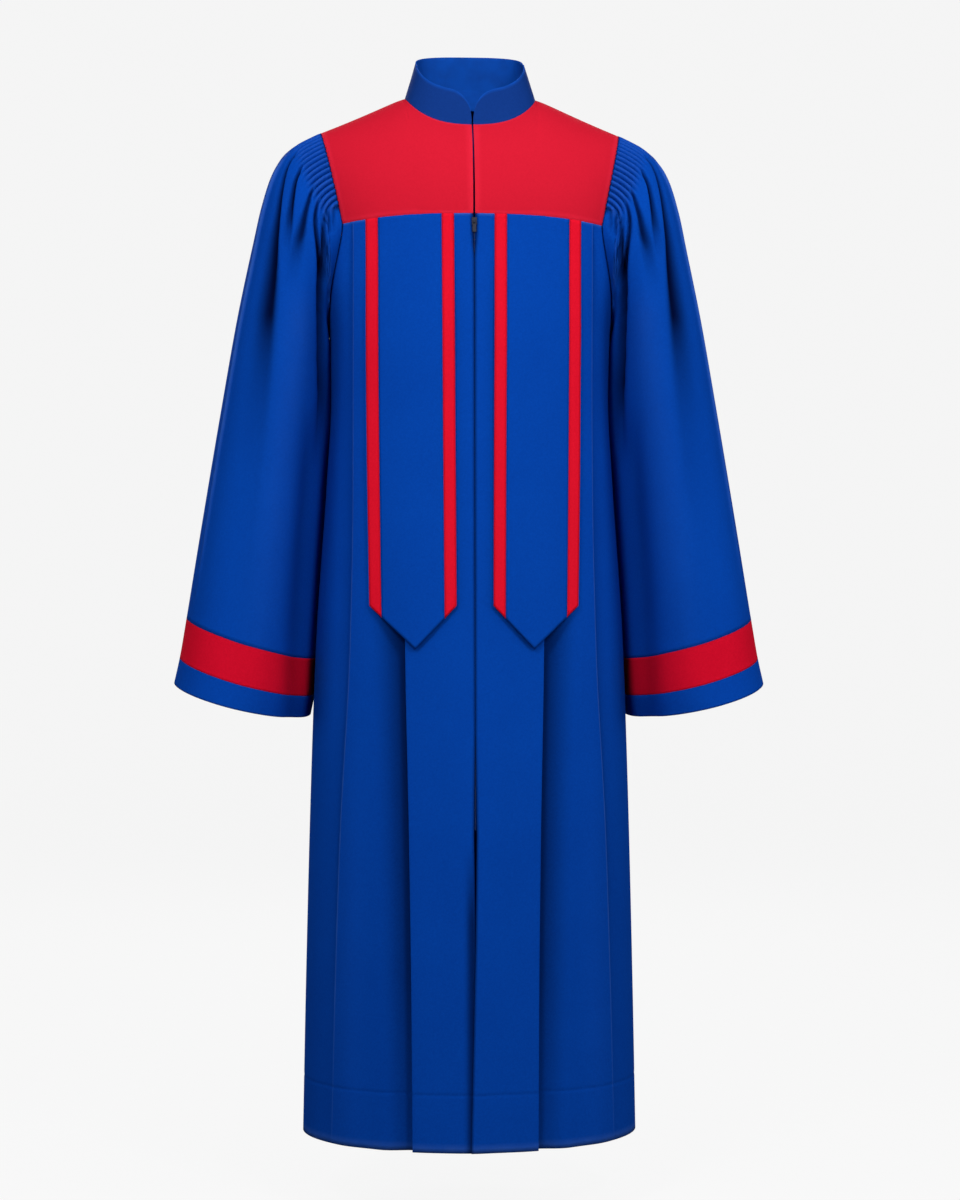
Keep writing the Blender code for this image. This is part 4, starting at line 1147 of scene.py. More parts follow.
def finish_cloth(grid: ClothGrid, node: str, finish: ClothFinish,
                 thickness: float = CLOTH) -> bpy.types.Object:
    """Args:
        grid: Its grid, folded and marked.
        node: Node of the solid that it stands for.
        finish: Its finish.
        thickness: Thickness of its cloth.

    Returns:
        The piece.
    """
    piece = grid.shell(f"{node}_cloth", thickness)
    finish.dress(piece)
    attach(piece, ROBE)
    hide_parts(node)
    LOG.info("%s: %d faces", piece.name, len(piece.data.polygons))
    return piece


def both_sides(rows_right: list[list[Vector]], rows_left: list[list[Vector]]) -> list[list[Vector]]:
    """Rows right across the centre line, from the wearer's right to the left."""
    return [list(reversed(right))[:-1] + left for right, left in zip(rows_right, rows_left)]


@dataclass
class Yokes:
    """Front yokes, the back yoke in one piece and its lining."""

    neck_steps: int = 34
    shoulder_steps: int = 30
    rows: int = 56
    gap_drop: float = 0.154
    lining_depth: float = 0.0016
    lining_margin: float = 0.001
    lining_start: int = 2
    lining_cloth: float = 0.00063
    back_allowance: float = 0.0014
    middle: float = -0.2
    front_cut: Cut = Cut(0.20, 0.20, 0.030, "stretched", ("wearer_shoulders",))
    back_cut: Cut = Cut(0.40, 0.22, 0.068, "stretched", ("wearer_shoulders",))

    def grid_rows(self, face: Face, side: Side) -> list[list[Vector]]:
        """Rows of half a yoke from its top edge down, each from the centre to the armhole."""
        edge = YOKE.top_edge(face, self.neck_steps, self.shoulder_steps)
        return [[YOKE.point(face, side, top, share) for top in edge] for share in spread(0.0, 1.0, self.rows)]

    def finish(self, rows: list[list[Vector]], node: str, cut: Cut, allowance: float) -> None:
        """Press the edges of a yoke, turn them in and make the piece.

        Args:
            rows: Points of its rows.
            node: Node of the solid that it stands for.
            cut: The flat size that it was cut to; not used.
            allowance: How far its edges go inside.
        """
        grid = ClothGrid.from_rows(rows, on_axis(self.middle))
        grid.draw_in(Edge.BOTTOM, SEAM_GAP)
        for edge in Edge:
            grid.mark(edge)
        for edge in (Edge.FIRST, Edge.LAST, Edge.BOTTOM, Edge.TOP):
            grid.turn_in(edge, allowance)
        finish_cloth(grid, node, RED_CLOTH)

    def build_front(self, side: Side) -> None:
        """One front yoke."""
        rows = self.grid_rows(Face.FRONT, side)
        for row in rows:
            drop = min(-row[0].z, self.gap_drop)
            row[0].x = side.value * row_at(CLOSURES, drop, smooth=False).half_gap
        self.finish(rows, f"yoke_front_{side.label}", self.front_cut, ALLOWANCE)

    def build_back(self) -> None:
        """The back yoke and its lining."""
        rows = both_sides(self.grid_rows(Face.BACK, Side.RIGHT), self.grid_rows(Face.BACK, Side.LEFT))
        self.finish(rows, "yoke_back", self.back_cut, self.back_allowance)
        lining = ClothGrid.from_rows(rows[self.lining_start:], on_axis(self.middle))
        lining.move(np.full(lining.points.shape[:2], -self.lining_depth))
        for edge in Edge:
            lining.draw_in(edge, self.lining_margin)
        finish_cloth(lining, "yoke_lining", BLUE_LINING, self.lining_cloth)

    def build(self) -> None:
        """All the pieces of the yoke."""
        for side in Side:
            self.build_front(side)
        self.build_back()


@dataclass
class BodyPanels:
    """Fronts and back, with their folded and pressed pleats, and shade and highlights painted on them."""

    column_steps: tuple[int, ...] = (26, 6, 4, 5, 12, 8, 3, 16)
    underlay: float = 0.016
    fold_depth: float = 0.0028
    fold_bulge: float = 0.8
    # The fields named shade paint shade into the pleats, the seams, the lap and the hem line; step_light
    # paints a highlight on the outer pleat's pressed edge.
    fold_shade_start: float = 0.4
    foot_depth: float = 0.0125
    foot_drop: float = 0.0012
    foot_x: float = 0.002
    foot_shade: float = 0.85
    release: float = 0.044
    release_power: float = 1.2
    release_fade: float = 1.25
    lift_reach: float = 0.03
    step_shade: float = 0.2
    step_light: float = 0.9
    step_start: float = 0.05
    step_fade: int = 4
    rest_power: float = 1.5
    lap_reach: float = 0.011
    lap_start: float = 0.93
    lap_run: float = 0.12
    lap_shade: float = 0.8
    seam_shade: float = 1.0
    beside_seam_shade: float = 0.4
    shade_drops: tuple[float, ...] = (0.15, 0.35, 0.60, 0.85, 1.10, 1.25, 1.38)
    shade_fades: tuple[float, ...] = (0.80, 0.90, 1.00, 1.00, 0.85, 0.50, 0.25)
    step_width: float = 0.0016
    edge_turn: float = 0.0008
    closure_shade: float = 0.6
    closure_columns: int = 3
    armhole_rows: int = 48
    skirt_rows: int = 160
    line_rows: int = 12
    hem_rows: int = 10
    line_reach: float = 0.008
    hem_height: float = 0.070
    hem_dent: float = 0.0006
    hem_line: float = 0.0020
    pucker: float = 0.25
    pucker_pitch: float = 0.011
    hem_shade: float = 0.11
    front_cut: Cut = Cut(0.36, 1.155, 0.36, "hung", ("yoke_front_left", "yoke_front_right"))
    back_cut: Cut = Cut(0.70, 1.155, 0.74, "hung", ("yoke_back",))
    middle: float = -0.7
    kept: dict = field(default_factory=dict)

    def seams(self, side: Side | None) -> tuple[Edge, ...]:
        """Sewn side edges of a front, or of the back, which is right across and has no side."""
        return (Edge.LAST,) if side else (Edge.FIRST, Edge.LAST)

    def paint_panel_light_and_shade(self, grid: ClothGrid, side: Side | None) -> None:
        """Paint shade deep in the pleats and beside the armhole seams, and highlights on pressed pleat edges.

        Args:
            grid: The panel's grid.
            side: Wearer's side of a front, or None for the back, which is right across.
        """
        columns = self.columns(Side.LEFT, Face.BACK, BODY.underarm_drop, RIGHT_ANGLE)
        shades = [shade for _, _, shade in columns]
        across = shades if side else list(reversed(shades))[:-1] + shades
        drop = -grid.points[:, :, 2]
        fade = np.interp(drop, self.shade_drops, self.shade_fades)
        marks = np.array(across)[None, :] * fade
        grid.paint_shade(marks)
        grid.paint_highlight(-marks)
        if side is Side.RIGHT:
            self.shade_lap(grid, drop)
        for edge in self.seams(side):
            armhole = edge.lines(grid.painted_shade)[:2, :self.armhole_rows + 1]
            armhole[0] = self.seam_shade
            armhole[1] = self.seam_shade * self.beside_seam_shade

    def shade_lap(self, grid: ClothGrid, drop: np.ndarray) -> None:
        """Paint the shadow that the lap casts on the right front beside the closure, low down."""
        beside = np.exp(-((np.abs(grid.points[:, :, 0]) / self.lap_reach) ** 4))
        below = np.clip((drop - self.lap_start) / self.lap_run, 0.0, self.lap_shade)
        grid.paint_shade(beside * below)

    def columns(self, side: Side, face: Face, drop: float,
                end_angle: float) -> list[tuple[float, float, float]]:
        """Columns of half a panel, from the centre to its end.

        Args:
            side: Wearer's side.
            face: Front or back.
            drop: Level that they are read at.
            end_angle: Angle of the last one.

        Returns:
            Angle, inward depth and painted shade of each; below 0 it is a highlight painted on a pressed
            edge.
        """
        pleats = row_at(PLEAT_LINES, drop)
        centre, lift = 0.0, 0.0
        if face is Face.FRONT:
            closure = row_at(CLOSURES, drop, smooth=False)
            centre = closure.half_gap - (closure.lap if side is Side.LEFT else 0.0)
            lift = closure.lift if side is Side.LEFT else 0.0
        flats, turned, under, foot, release, between, steps, rest = self.column_steps
        fold, step = pleats.inner_x, pleats.outer_x
        flat = []
        for x in spread(centre, fold, flats):
            flat.append((x, -lift * (1.0 - ease((x - centre) / self.lift_reach)), 0.0))
        radius = self.fold_depth / 2.0
        for turn in spread(0.0, math.pi, turned, after_start=True):
            x = fold + radius * math.sin(turn) * self.fold_bulge
            shade = max(0.0, turn / math.pi - self.fold_shade_start)
            flat.append((x, radius * (1.0 - math.cos(turn)), shade))
        for share in shares(under):
            flat.append((lerp(fold, fold - self.underlay, share), self.fold_depth, 1.0))
        for share in shares(foot):
            x = lerp(fold - self.underlay, fold + self.foot_x, share)
            flat.append((x, lerp(self.fold_depth + self.foot_drop, self.foot_depth, share), 1.0))
        for share in shares(release):
            x = lerp(fold + self.foot_x, fold + self.release, share)
            inward = self.foot_depth * (1.0 - ease(share)) ** self.release_power
            flat.append((x, inward, self.foot_shade * (1.0 - share) ** self.release_fade))
        for x in spread(fold + self.release, step - self.step_width, between, after_start=True):
            flat.append((x, 0.0, 0.0))
        flat.append((step, 0.0, -self.step_light))
        depth = pleats.outer_depth * ease((drop - BODY.seam_drop) / self.step_start)
        for share in shares(steps):
            flat.append((step + self.step_width * share, depth * ease(share), self.step_shade * share))
        columns = [(BODY.angle_at_x(x, drop), inward, shade) for x, inward, shade in flat]
        start = columns[-1][0]
        for share in shares(rest):
            shade = self.step_shade * (1.0 - share) ** self.step_fade
            columns.append((lerp(start, end_angle, share), depth * (1.0 - share) ** self.rest_power, shade))
        return columns

    def panel_rows(self, side: Side, face: Face) -> list[list[Vector]]:
        """Rows of half a panel, from the yoke seam to the hem."""
        rows = []
        corner = BODY.yoke_seam(BODY.corner_x)
        for step in range(self.armhole_rows + 1):
            share = step / self.armhole_rows
            level = BODY.armhole_drop(share)
            end_angle = BODY.armhole_angle(face, share)
            row = []
            for index, (angle, _, _) in enumerate(self.columns(side, face, level, end_angle)[:-1]):
                x = abs(BODY.point(Side.LEFT, face, angle, level).x)
                drop = level + (BODY.yoke_seam(x) - corner) * (1.0 - share)
                angle, inward, _ = self.columns_at(side, face, drop, end_angle)[index]
                row.append(BODY.point(side, face, angle, drop, inward))
            row.append(BODY.point(side, face, end_angle, level))
            rows.append(row)
        line = BODY.hem_drop - self.hem_height
        above, below = line - self.line_reach, line + self.line_reach
        skirt = spread(BODY.underarm_drop, above, self.skirt_rows, after_start=True)
        skirt += spread(above, below, self.line_rows, after_start=True)
        skirt += spread(below, BODY.hem_drop, self.hem_rows, after_start=True)
        for drop in skirt:
            columns = self.columns(side, face, drop, RIGHT_ANGLE)
            rows.append([BODY.point(side, face, angle, drop, inward) for angle, inward, _ in columns])
        return rows

    def columns_at(self, side: Side, face: Face, drop: float,
                   end_angle: float) -> list[tuple[float, float, float]]:
        """Columns at a drop rounded to a tenth of a millimetre, kept for the next time."""
        key = (side, face, round(drop, 4), round(end_angle, 5))
        if key not in self.kept:
            self.kept[key] = self.columns(side, face, key[2], end_angle)
        return self.kept[key]

    def hem(self, grid: ClothGrid) -> None:
        """Press the hem's upper edge in as a faint line with puckers, and paint shade along it."""
        drop = -grid.points[:, :, 2]
        line = BODY.hem_drop - self.hem_height
        steps = np.linalg.norm(np.diff(grid.points, axis=1, prepend=grid.points[:, :1]), axis=2)
        wave = np.sin(np.cumsum(steps, axis=1) * 2.0 * math.pi / self.pucker_pitch)
        press = (1.0 - self.pucker + self.pucker * wave) * np.exp(-((drop - line) / self.hem_line) ** 2)
        grid.move(-press * self.hem_dent)
        grid.paint_shade(press * self.hem_shade)

    def build_panel(self, rows: list[list[Vector]], side: Side | None, node: str) -> None:
        """Fold, mark and finish one panel.

        Args:
            rows: Points of its rows.
            side: Wearer's side of a front, or None for the back, which is right across.
            node: Node of the solid that it stands for.
        """
        grid = ClothGrid.from_rows(rows, on_axis(self.middle))
        face = Face.FRONT if side else Face.BACK
        for half in Side:
            grid.fold(BODY_DRAPE[face], partial(BODY.at_x, half, face))
        self.paint_panel_light_and_shade(grid, side)
        self.hem(grid)
        for edge in self.seams(side):
            grid.draw_in(edge, SEAM_GAP)
            grid.turn_in(edge, ALLOWANCE)
        if side:
            # Along the front edge: no painted highlight, and a line of painted shade as in the gap of the
            # closure.
            grid.press[:, :self.closure_columns] = 0.0
            grid.shade(Edge.FIRST, self.closure_shade)
            grid.turn_in(Edge.FIRST, self.edge_turn)
        grid.draw_in(Edge.TOP, SEAM_GAP)
        grid.mark(Edge.TOP)
        grid.mark(Edge.BOTTOM)
        grid.turn_in(Edge.TOP, ALLOWANCE)
        finish_cloth(grid, node, BLUE_CLOTH)

    def build(self) -> None:
        """The fronts and the back."""
        for side in Side:
            rows = self.panel_rows(side, Face.FRONT)
            self.build_panel(rows, side, f"front_{side.label}")
        rows = both_sides(self.panel_rows(Side.RIGHT, Face.BACK), self.panel_rows(Side.LEFT, Face.BACK))
        self.build_panel(rows, None, "back")


BODY_DRAPE = {
    Face.FRONT: (
        crease((0.118, 0.62, 0.014, 0.0), (0.122, 0.82, 0.020, 0.0022), (0.128, 1.05, 0.024, 0.0026),
               (0.131, 1.30, 0.026, 0.0024)),
        crease((0.150, 0.75, 0.012, 0.0), (0.152, 0.95, 0.018, -0.0018), (0.155, 1.15, 0.020, -0.0022),
               (0.157, 1.30, 0.022, -0.0020)),
        crease((0.045, 0.72, 0.014, 0.0), (0.044, 0.90, 0.018, 0.0014), (0.041, 1.10, 0.020, 0.0012),
               (0.040, 1.30, 0.020, 0.0010)),
        crease((0.160, 0.34, 0.008, 0.0), (0.163, 0.45, 0.009, 0.0012), (0.167, 0.70, 0.012, 0.0012),
               (0.172, 0.95, 0.012, 0.0)),
    ),
    Face.BACK: (
        crease((0.115, 0.40, 0.014, 0.0), (0.120, 0.70, 0.020, 0.0035), (0.126, 1.00, 0.024, 0.0040),
               (0.130, 1.30, 0.026, 0.0035)),
        crease((0.040, 0.30, 0.016, 0.0), (0.042, 0.60, 0.022, 0.0030), (0.038, 0.95, 0.024, 0.0035),
               (0.036, 1.30, 0.026, 0.0030)),
        crease((0.160, 0.34, 0.010, 0.0), (0.164, 0.50, 0.014, 0.0035), (0.170, 0.75, 0.018, 0.0030),
               (0.178, 1.05, 0.018, 0.0)),
    ),
}


@dataclass(frozen=True)
class Sleeves:
    """Bell sleeves with fluted heads, red bands and blue hems."""

    flute_pitch: float = 0.0079
    flutes: int = 18
    flute_points: int = 8
    flute_rise: float = 0.0026
    # crest_light paints highlights on the flute crests; the trough start is where painted shade begins in
    # their valleys.
    crest_light: float = 0.5
    bend_top: float = 0.4
    bend_low: float = 6.0
    bend_power: int = 8
    wave_power: float = 0.7
    wave_low: float = 1.3
    trough_shade_start: float = 0.15
    reach_turns: tuple[float, ...] = (0.0, 16.0, 34.0, 58.0, 80.0, 100.0)
    reach_places: tuple[float, ...] = (2.4, 2.6, 2.4, 2.1, 1.4, 0.9)
    fade_start: float = 0.70
    fade_run: float = 0.45
    root_rise: float = 0.55
    root_run: float = 0.30
    crown_rise: float = 0.25
    crown_turns: tuple[float, float] = (3.0, 16.0)
    under_points: int = 56
    arc_reach: float = 1.2
    arc_steps: int = 160
    head_rows: tuple[float, int] = (3.0, 44)
    arm_rows: tuple[float, int] = (7.0, 44)
    lower_rows: int = 36
    seam_shade: float = 1.0
    seam_reach: float = 0.0013
    held_reach: float = 0.3
    edge_turn: float = ALLOWANCE / 3.0
    edge_shade: float = 0.3
    band_place: float = 10.0
    hem_place: float = 11.0
    band_rows: int = 16
    hem_rows: int = 12
    sleeve_cut: Cut = Cut(0.68, 0.66, 0.36, "gathered")
    band_cut: Cut = Cut(0.66, 0.052, 0.0335, "hung")
    hem_cut: Cut = Cut(0.67, 0.036, 0.0225, "hung")

    def turns(self) -> list[float]:
        """Turn of each column, from the top down the front and up the back."""
        count = self.flutes * self.flute_points
        front = [ARMHOLE.turn_at(index * self.flute_pitch / self.flute_points) for index in range(count + 1)]
        under = spread(front[-1], FULL_TURN - front[-1], self.under_points)[1:-1]
        back = [FULL_TURN - turn for turn in reversed(front[1:])]
        return front + under + back

    def places(self) -> list[float]:
        """Places of the rows of the blue sleeve."""
        (head_end, head_rows), (arm_end, arm_rows) = self.head_rows, self.arm_rows
        head = spread(0.0, head_end, head_rows)
        arm = spread(head_end, arm_end, arm_rows, after_start=True)
        return head + arm + spread(arm_end, self.band_place, self.lower_rows, after_start=True)

    def flute_root(self, place: float, turn: float) -> float:
        """Turn on the seam that a flute at a place and turn comes from, bent down by its hang."""
        half_turn = min(turn, FULL_TURN - turn)
        bend = self.bend_top + self.bend_low * (half_turn / (FULL_TURN / 4.0)) ** self.bend_power
        return max(half_turn - bend * place ** 2, 0.0)

    def flute_rise_at(self, place: float, turn: float) -> float:
        """Rise of the flutes at a place and turn: full at the seam, fading into the soft folds."""
        half_turn = self.flute_root(place, turn)
        share = float(np.interp(half_turn, *self.seam_arcs())) / self.flute_pitch
        if share > self.flutes:
            return 0.0
        wave = 2.0 * abs(math.sin(math.pi * share)) ** self.wave_power - self.wave_low
        reach = smooth_between(self.reach_turns, self.reach_places, half_turn)
        fade = 1.0 - ease((place / reach - self.fade_start) / self.fade_run)
        root = lerp(self.root_rise, 1.0, ease(place / self.root_run))
        crown_start, crown_run = self.crown_turns
        crown = lerp(self.crown_rise, 1.0, ease((half_turn - crown_start) / crown_run))
        return self.flute_rise * fade * root * crown * wave

    @lru_cache(maxsize=None)
    def seam_arcs(self) -> tuple[tuple[float, ...], tuple[float, ...]]:
        """Turns down the front of the seam, and the length of seam from its top to each."""
        arcs = spread(0.0, self.flutes * self.flute_pitch * self.arc_reach, self.arc_steps)
        return tuple(ARMHOLE.turn_at(arc) for arc in arcs), tuple(arcs)

    def build_tube(self, node: str, places: Sequence[float], side: Side, finish: ClothFinish,
                   head: bool = False) -> None:
        """One tube of cloth round the arm.

        Args:
            node: Node of the solid that it stands for.
            places: Places of its rows.
            side: Wearer's side.
            finish: Its finish.
            head: Whether it has the fluted head.
        """
        turns = self.turns()
        halfway = places[len(places) // 2]
        middle = SLEEVE.point(halfway, 0.0).lerp(SLEEVE.point(halfway, FULL_TURN / 2.0), 0.5)
        grid = ClothGrid.from_rows([[SLEEVE.point(p, turn) for turn in turns] for p in places], middle, True)
        plain = grid.points
        grid.fold(SLEEVE_FOLDS[side], lambda turn, place: SLEEVE.point(place, turn))
        if head:
            held = np.array([ease(place / self.held_reach) for place in places])[:, None, None]
            grid.points = plain + (grid.points - plain) * held
            rise = np.array([[self.flute_rise_at(place, turn) for turn in turns] for place in places])
            grid.move(rise)
            # Shade painted in the flutes' valleys and highlights painted on their crests, then painted shade
            # beside the seam.
            height = rise / self.flute_rise
            grid.paint_shade(np.clip(-height - self.trough_shade_start, 0.0, 1.0))
            grid.paint_highlight(self.crest_light * np.clip(height, 0.0, 1.0))
            grid.draw_in(Edge.TOP, SEAM_GAP)
            grid.shade_seam(self.seam_reach, self.seam_shade)
            grid.turn_in(Edge.TOP, ALLOWANCE)
        else:
            grid.shade(Edge.TOP, self.edge_shade)
            grid.turn_in(Edge.TOP, self.edge_turn)
        grid.draw_in(Edge.BOTTOM, SEAM_GAP)
        grid.shade(Edge.BOTTOM, self.edge_shade)
        grid.turn_in(Edge.BOTTOM, self.edge_turn)
        grid.points[:, :, 0] *= side.value
        grid.inside = Vector((side.value * middle.x, middle.y, middle.z))
        finish_cloth(grid, node, finish)

    def build(self) -> None:
        """Both sleeves."""
        for side in Side:
            label = side.label
            yokes_and_panels = (f"yoke_front_{label}", "yoke_back", f"front_{label}", "back")
            sleeve_cut = replace(self.sleeve_cut, rests_on=yokes_and_panels)
            self.build_tube(f"sleeve_{label}", self.places(), side, BLUE_CLOTH, head=True)
            band_cut = replace(self.band_cut, rests_on=(f"sleeve_{label}",))
            band_places = spread(self.band_place, self.hem_place, self.band_rows)
            self.build_tube(f"sleeve_band_{label}", band_places, side, SLEEVE_BAND_CLOTH)
            hem_cut = replace(self.hem_cut, rests_on=(f"sleeve_band_{label}",))
            hem_places = spread(self.hem_place, SLEEVE.cuff_place, self.hem_rows)
            self.build_tube(f"sleeve_hem_{label}", hem_places, side, BLUE_CLOTH)


# Creases down the sleeve's front. The ridge with a shade of 5 paints a highlight, the sheen streak down the
# outer side, and the troughs' shade paints them dark.
FRONT_SLEEVE_FOLDS = (
    crease((26, 2.1, 0.0014, 0.0), (29, 2.6, 0.0019, 0.0030), (34, 3.2, 0.0026, 0.0040),
           (41.5, 3.8, 0.0036, 0.0048), (48.5, 4.5, 0.0054, 0.0062), (53, 5.3, 0.0086, 0.0085),
           (58, 6.1, 0.0115, 0.0080), (66, 7.0, 0.0150, 0.0056), (71, 7.8, 0.0180, 0.0036),
           (74, 8.8, 0.0220, 0.0020), (76, 10.0, 0.0260, 0.0), bias=0.35, sharpness=2.2, shade=2.2),
    crease((19, 2.8, 0.0030, 0.0), (22, 3.8, 0.0038, -0.0030), (24, 4.8, 0.0042, -0.0032),
           (25, 6.4, 0.0042, -0.0028), (26, 8.2, 0.0046, -0.0024), (28, 9.9, 0.0050, 0.0), shade=5.0),
    crease((42.5, 2.0, 0.0013, 0.0), (46.5, 2.4, 0.0018, 0.0050), (51, 2.9, 0.0022, 0.0066),
           (60, 3.6, 0.0034, 0.0056), (65, 4.1, 0.0050, 0.0040), (71, 5.3, 0.0080, 0.0),
           bias=0.35, sharpness=2.2, shade=1.5),
    crease((61, 1.6, 0.0013, 0.0), (66, 2.0, 0.0018, 0.0050), (73, 2.7, 0.0028, 0.0060),
           (78, 3.3, 0.0046, 0.0062), (81, 4.2, 0.0070, 0.0040), (84, 5.6, 0.0100, 0.0),
           bias=0.35, sharpness=2.2, shade=1.3),
    crease((69.5, 1.4, 0.0012, 0.0), (74.5, 1.8, 0.0016, 0.0050), (79.5, 2.1, 0.0020, 0.0070),
           (91, 2.35, 0.0025, 0.0080), (109, 2.4, 0.0042, 0.0110), (120, 2.9, 0.0064, 0.0150),
           (125, 3.8, 0.0086, 0.0160), (129, 4.9, 0.0100, 0.0140), (134, 6.0, 0.0120, 0.0090),
           (140, 7.4, 0.0150, 0.0), sharpness=2.6),
    crease((78, 0.8, 0.0012, 0.0), (83, 1.4, 0.0018, 0.0050), (91, 1.75, 0.0030, 0.0075),
           (104, 1.9, 0.0044, 0.0085), (116, 2.3, 0.0056, 0.0060), (120, 2.8, 0.0060, 0.0)),
    crease((78, 0.7, 0.0012, 0.0), (83, 1.0, 0.0016, 0.0045), (88, 1.15, 0.0022, 0.0045),
           (95, 1.3, 0.0030, 0.0)),
    crease((77, 0.3, 0.0012, 0.0), (82, 0.5, 0.0015, 0.0035), (87, 0.7, 0.0020, 0.0030),
           (93, 0.9, 0.0030, 0.0)),
    crease((86, 4.2, 0.0120, 0.0), (96, 5.6, 0.0180, -0.0040), (100, 8.0, 0.0240, -0.0040),
           (102, 11.8, 0.0300, -0.0015)),
    crease((66, 7.6, 0.0160, 0.0), (74, 9.0, 0.0220, 0.0034), (79, 10.6, 0.0260, 0.0030),
           (82, 12.0, 0.0280, 0.0020)),
    crease((118, 6.6, 0.0140, 0.0), (126, 7.6, 0.0180, 0.0050), (132, 9.2, 0.0220, 0.0060),
           (138, 12.0, 0.0240, 0.0050)),
)


def behind(folds: tuple[Crease, ...], turn: float, share: float) -> tuple[Crease, ...]:
    """Folds of the sleeve's back, like its front ones but shifted and of another depth.

    Args:
        folds: Front folds.
        turn: How far they are shifted round, in degrees.
        share: Their depth, as a share of the front ones'.

    Returns:
        Folds at turns counted up the back.
    """
    moved = []
    for fold in folds:
        knots = tuple(
            CreaseKnot(FULL_TURN - knot.across - turn, knot.along, knot.width, knot.depth * share)
            for knot in fold.knots
        )
        moved.append(replace(fold, knots=knots, bias=-fold.bias))
    return tuple(moved)


SLEEVE_FOLDS = {
    Side.LEFT: FRONT_SLEEVE_FOLDS + behind(FRONT_SLEEVE_FOLDS, 3.0, 0.9),
    Side.RIGHT: FRONT_SLEEVE_FOLDS + behind(FRONT_SLEEVE_FOLDS, -2.0, 0.85),
}


@dataclass
class Collar:
    """Stand collar: one band with rounded front corners that leans in towards the neck."""

    front_height: float = 0.045
    shoulder_height: float = 0.0415
    side_rim: float = 0.0494
    side_reach: float = 0.020
    back_rim: float = 0.0690
    lean_side: float = 0.014
    lean_front: float = 0.008
    lean_back: float = 0.007
    front_edge: float = 0.009
    corner_length: float = 0.034
    corner_roundness: float = 2.2
    thickness: float = 0.0017
    seam_gap: float = 0.0005
    facing_depth: float = 0.0020
    facing_front: float = 0.0060
    facing_back: float = 0.0260
    facing_start: float = 0.02
    facing_run: float = 0.06
    facing_top: float = 0.9
    facing_rows: int = 6
    facing_shade: float = 0.1
    back_light_reach: float = 0.02
    middle: float = -0.02
    rim_bevel: float = 0.0005
    rim_angle: float = 60.0
    neck_steps: int = 44
    rows: int = 18
    cut: Cut = Cut(0.46, 0.060, 0.0205, "stretched", ("yoke_front_left", "yoke_front_right", "yoke_back"))

    def corner_share(self, arc: float) -> float:
        """Share of its full height that the collar has at an arc length from its front edge."""
        if arc >= self.corner_length:
            return 1.0
        rest = 1.0 - arc / self.corner_length
        edge = self.front_edge / self.front_height
        return lerp(edge, 1.0, math.sqrt(max(1.0 - rest ** self.corner_roundness, 0.0)))

    def full_height(self, face: Face, point: Vector) -> float:
        """Height of the collar above a point of the neckline, clear of its front corners."""
        across = abs(point.x) / YOKE.neck_half_width
        if face is Face.FRONT:
            height = lerp(self.front_height, self.shoulder_height, across ** 2)
            near_side = math.exp(-((point.y / self.side_reach) ** 2))
            return lerp(height, self.side_rim - point.z, near_side)
        return lerp(self.side_rim, self.back_rim, point.y / YOKE.back_neck_depth) - point.z

    def facing(self, point: Vector) -> Vector:
        """Point of the collar's lower edge, tucked down inside the yoke and deeper at the back."""
        outward = Vector((point.x, point.y, 0.0)).normalized()
        along = ease((point.y + self.facing_start) / self.facing_run)
        drop = lerp(self.facing_front, self.facing_back, along)
        return point - outward * self.facing_depth - on_axis(drop)

    def base(self) -> list[tuple[Face, Vector]]:
        """Points of the base with their face, from the left front round the back."""
        half = []
        front = [(Face.FRONT, share) for share in spread(0.0, 1.0, self.neck_steps * 2)]
        back = [(Face.BACK, share) for share in reversed(spread(0.0, 1.0, self.neck_steps)[:-1])]
        for face, share in front + back:
            half.append((face, YOKE.point(face, Side.LEFT, YOKE.neckline(face, share), 0.0)))
        half[0][1].x = row_at(CLOSURES, -half[0][1].z, smooth=False).half_gap
        mirror = [(face, Vector((-point.x, point.y, point.z))) for face, point in reversed(half[:-1])]
        return half + mirror

    def build(self) -> None:
        """The collar."""
        base = self.base()
        arcs = [0.0]
        for (_, before), (_, after) in zip(base, base[1:]):
            arcs.append(arcs[-1] + (after - before).length)
        rows = []
        for share in spread(0.0, 1.0, self.rows):
            line = []
            for (face, point), arc in zip(base, arcs):
                across = (abs(point.x) / YOKE.neck_half_width) ** 2
                corner = self.corner_share(min(arc, arcs[-1] - arc))
                height = self.full_height(face, point) * corner
                end_lean = self.lean_front if face is Face.FRONT else self.lean_back
                lean = lerp(end_lean, self.lean_side, across) * corner
                outward = Vector((point.x, point.y, 0.0)).normalized()
                lift = on_axis(self.seam_gap * (1.0 - share) + height * share)
                line.append(point + lift - outward * (lean * share))
            rows.append(line)
        facing = [self.facing(point) for _, point in base]
        for share in spread(self.facing_top, 0.0, self.facing_rows):
            rows.insert(0, [point.lerp(end, 1.0 - share) for (_, point), end in zip(base, facing)])
        grid = ClothGrid.from_rows(rows, on_axis(self.middle))
        # Painted shade on the facing rows, and light painted over the back of the collar, growing from the
        # sides.
        grid.painted_shade[:self.facing_rows + 1] = self.facing_shade
        grid.paint_highlight(np.clip(grid.points[:, :, 1] / self.back_light_reach, 0.0, 1.0))
        grid.mark(Edge.BOTTOM)
        piece = finish_cloth(grid, "collar", COLLAR_CLOTH, self.thickness)
        bevel = piece.modifiers.new("rim", "BEVEL")
        bevel.width = self.rim_bevel
        bevel.segments = 2
        bevel.limit_method = "ANGLE"
        bevel.angle_limit = math.radians(self.rim_angle)


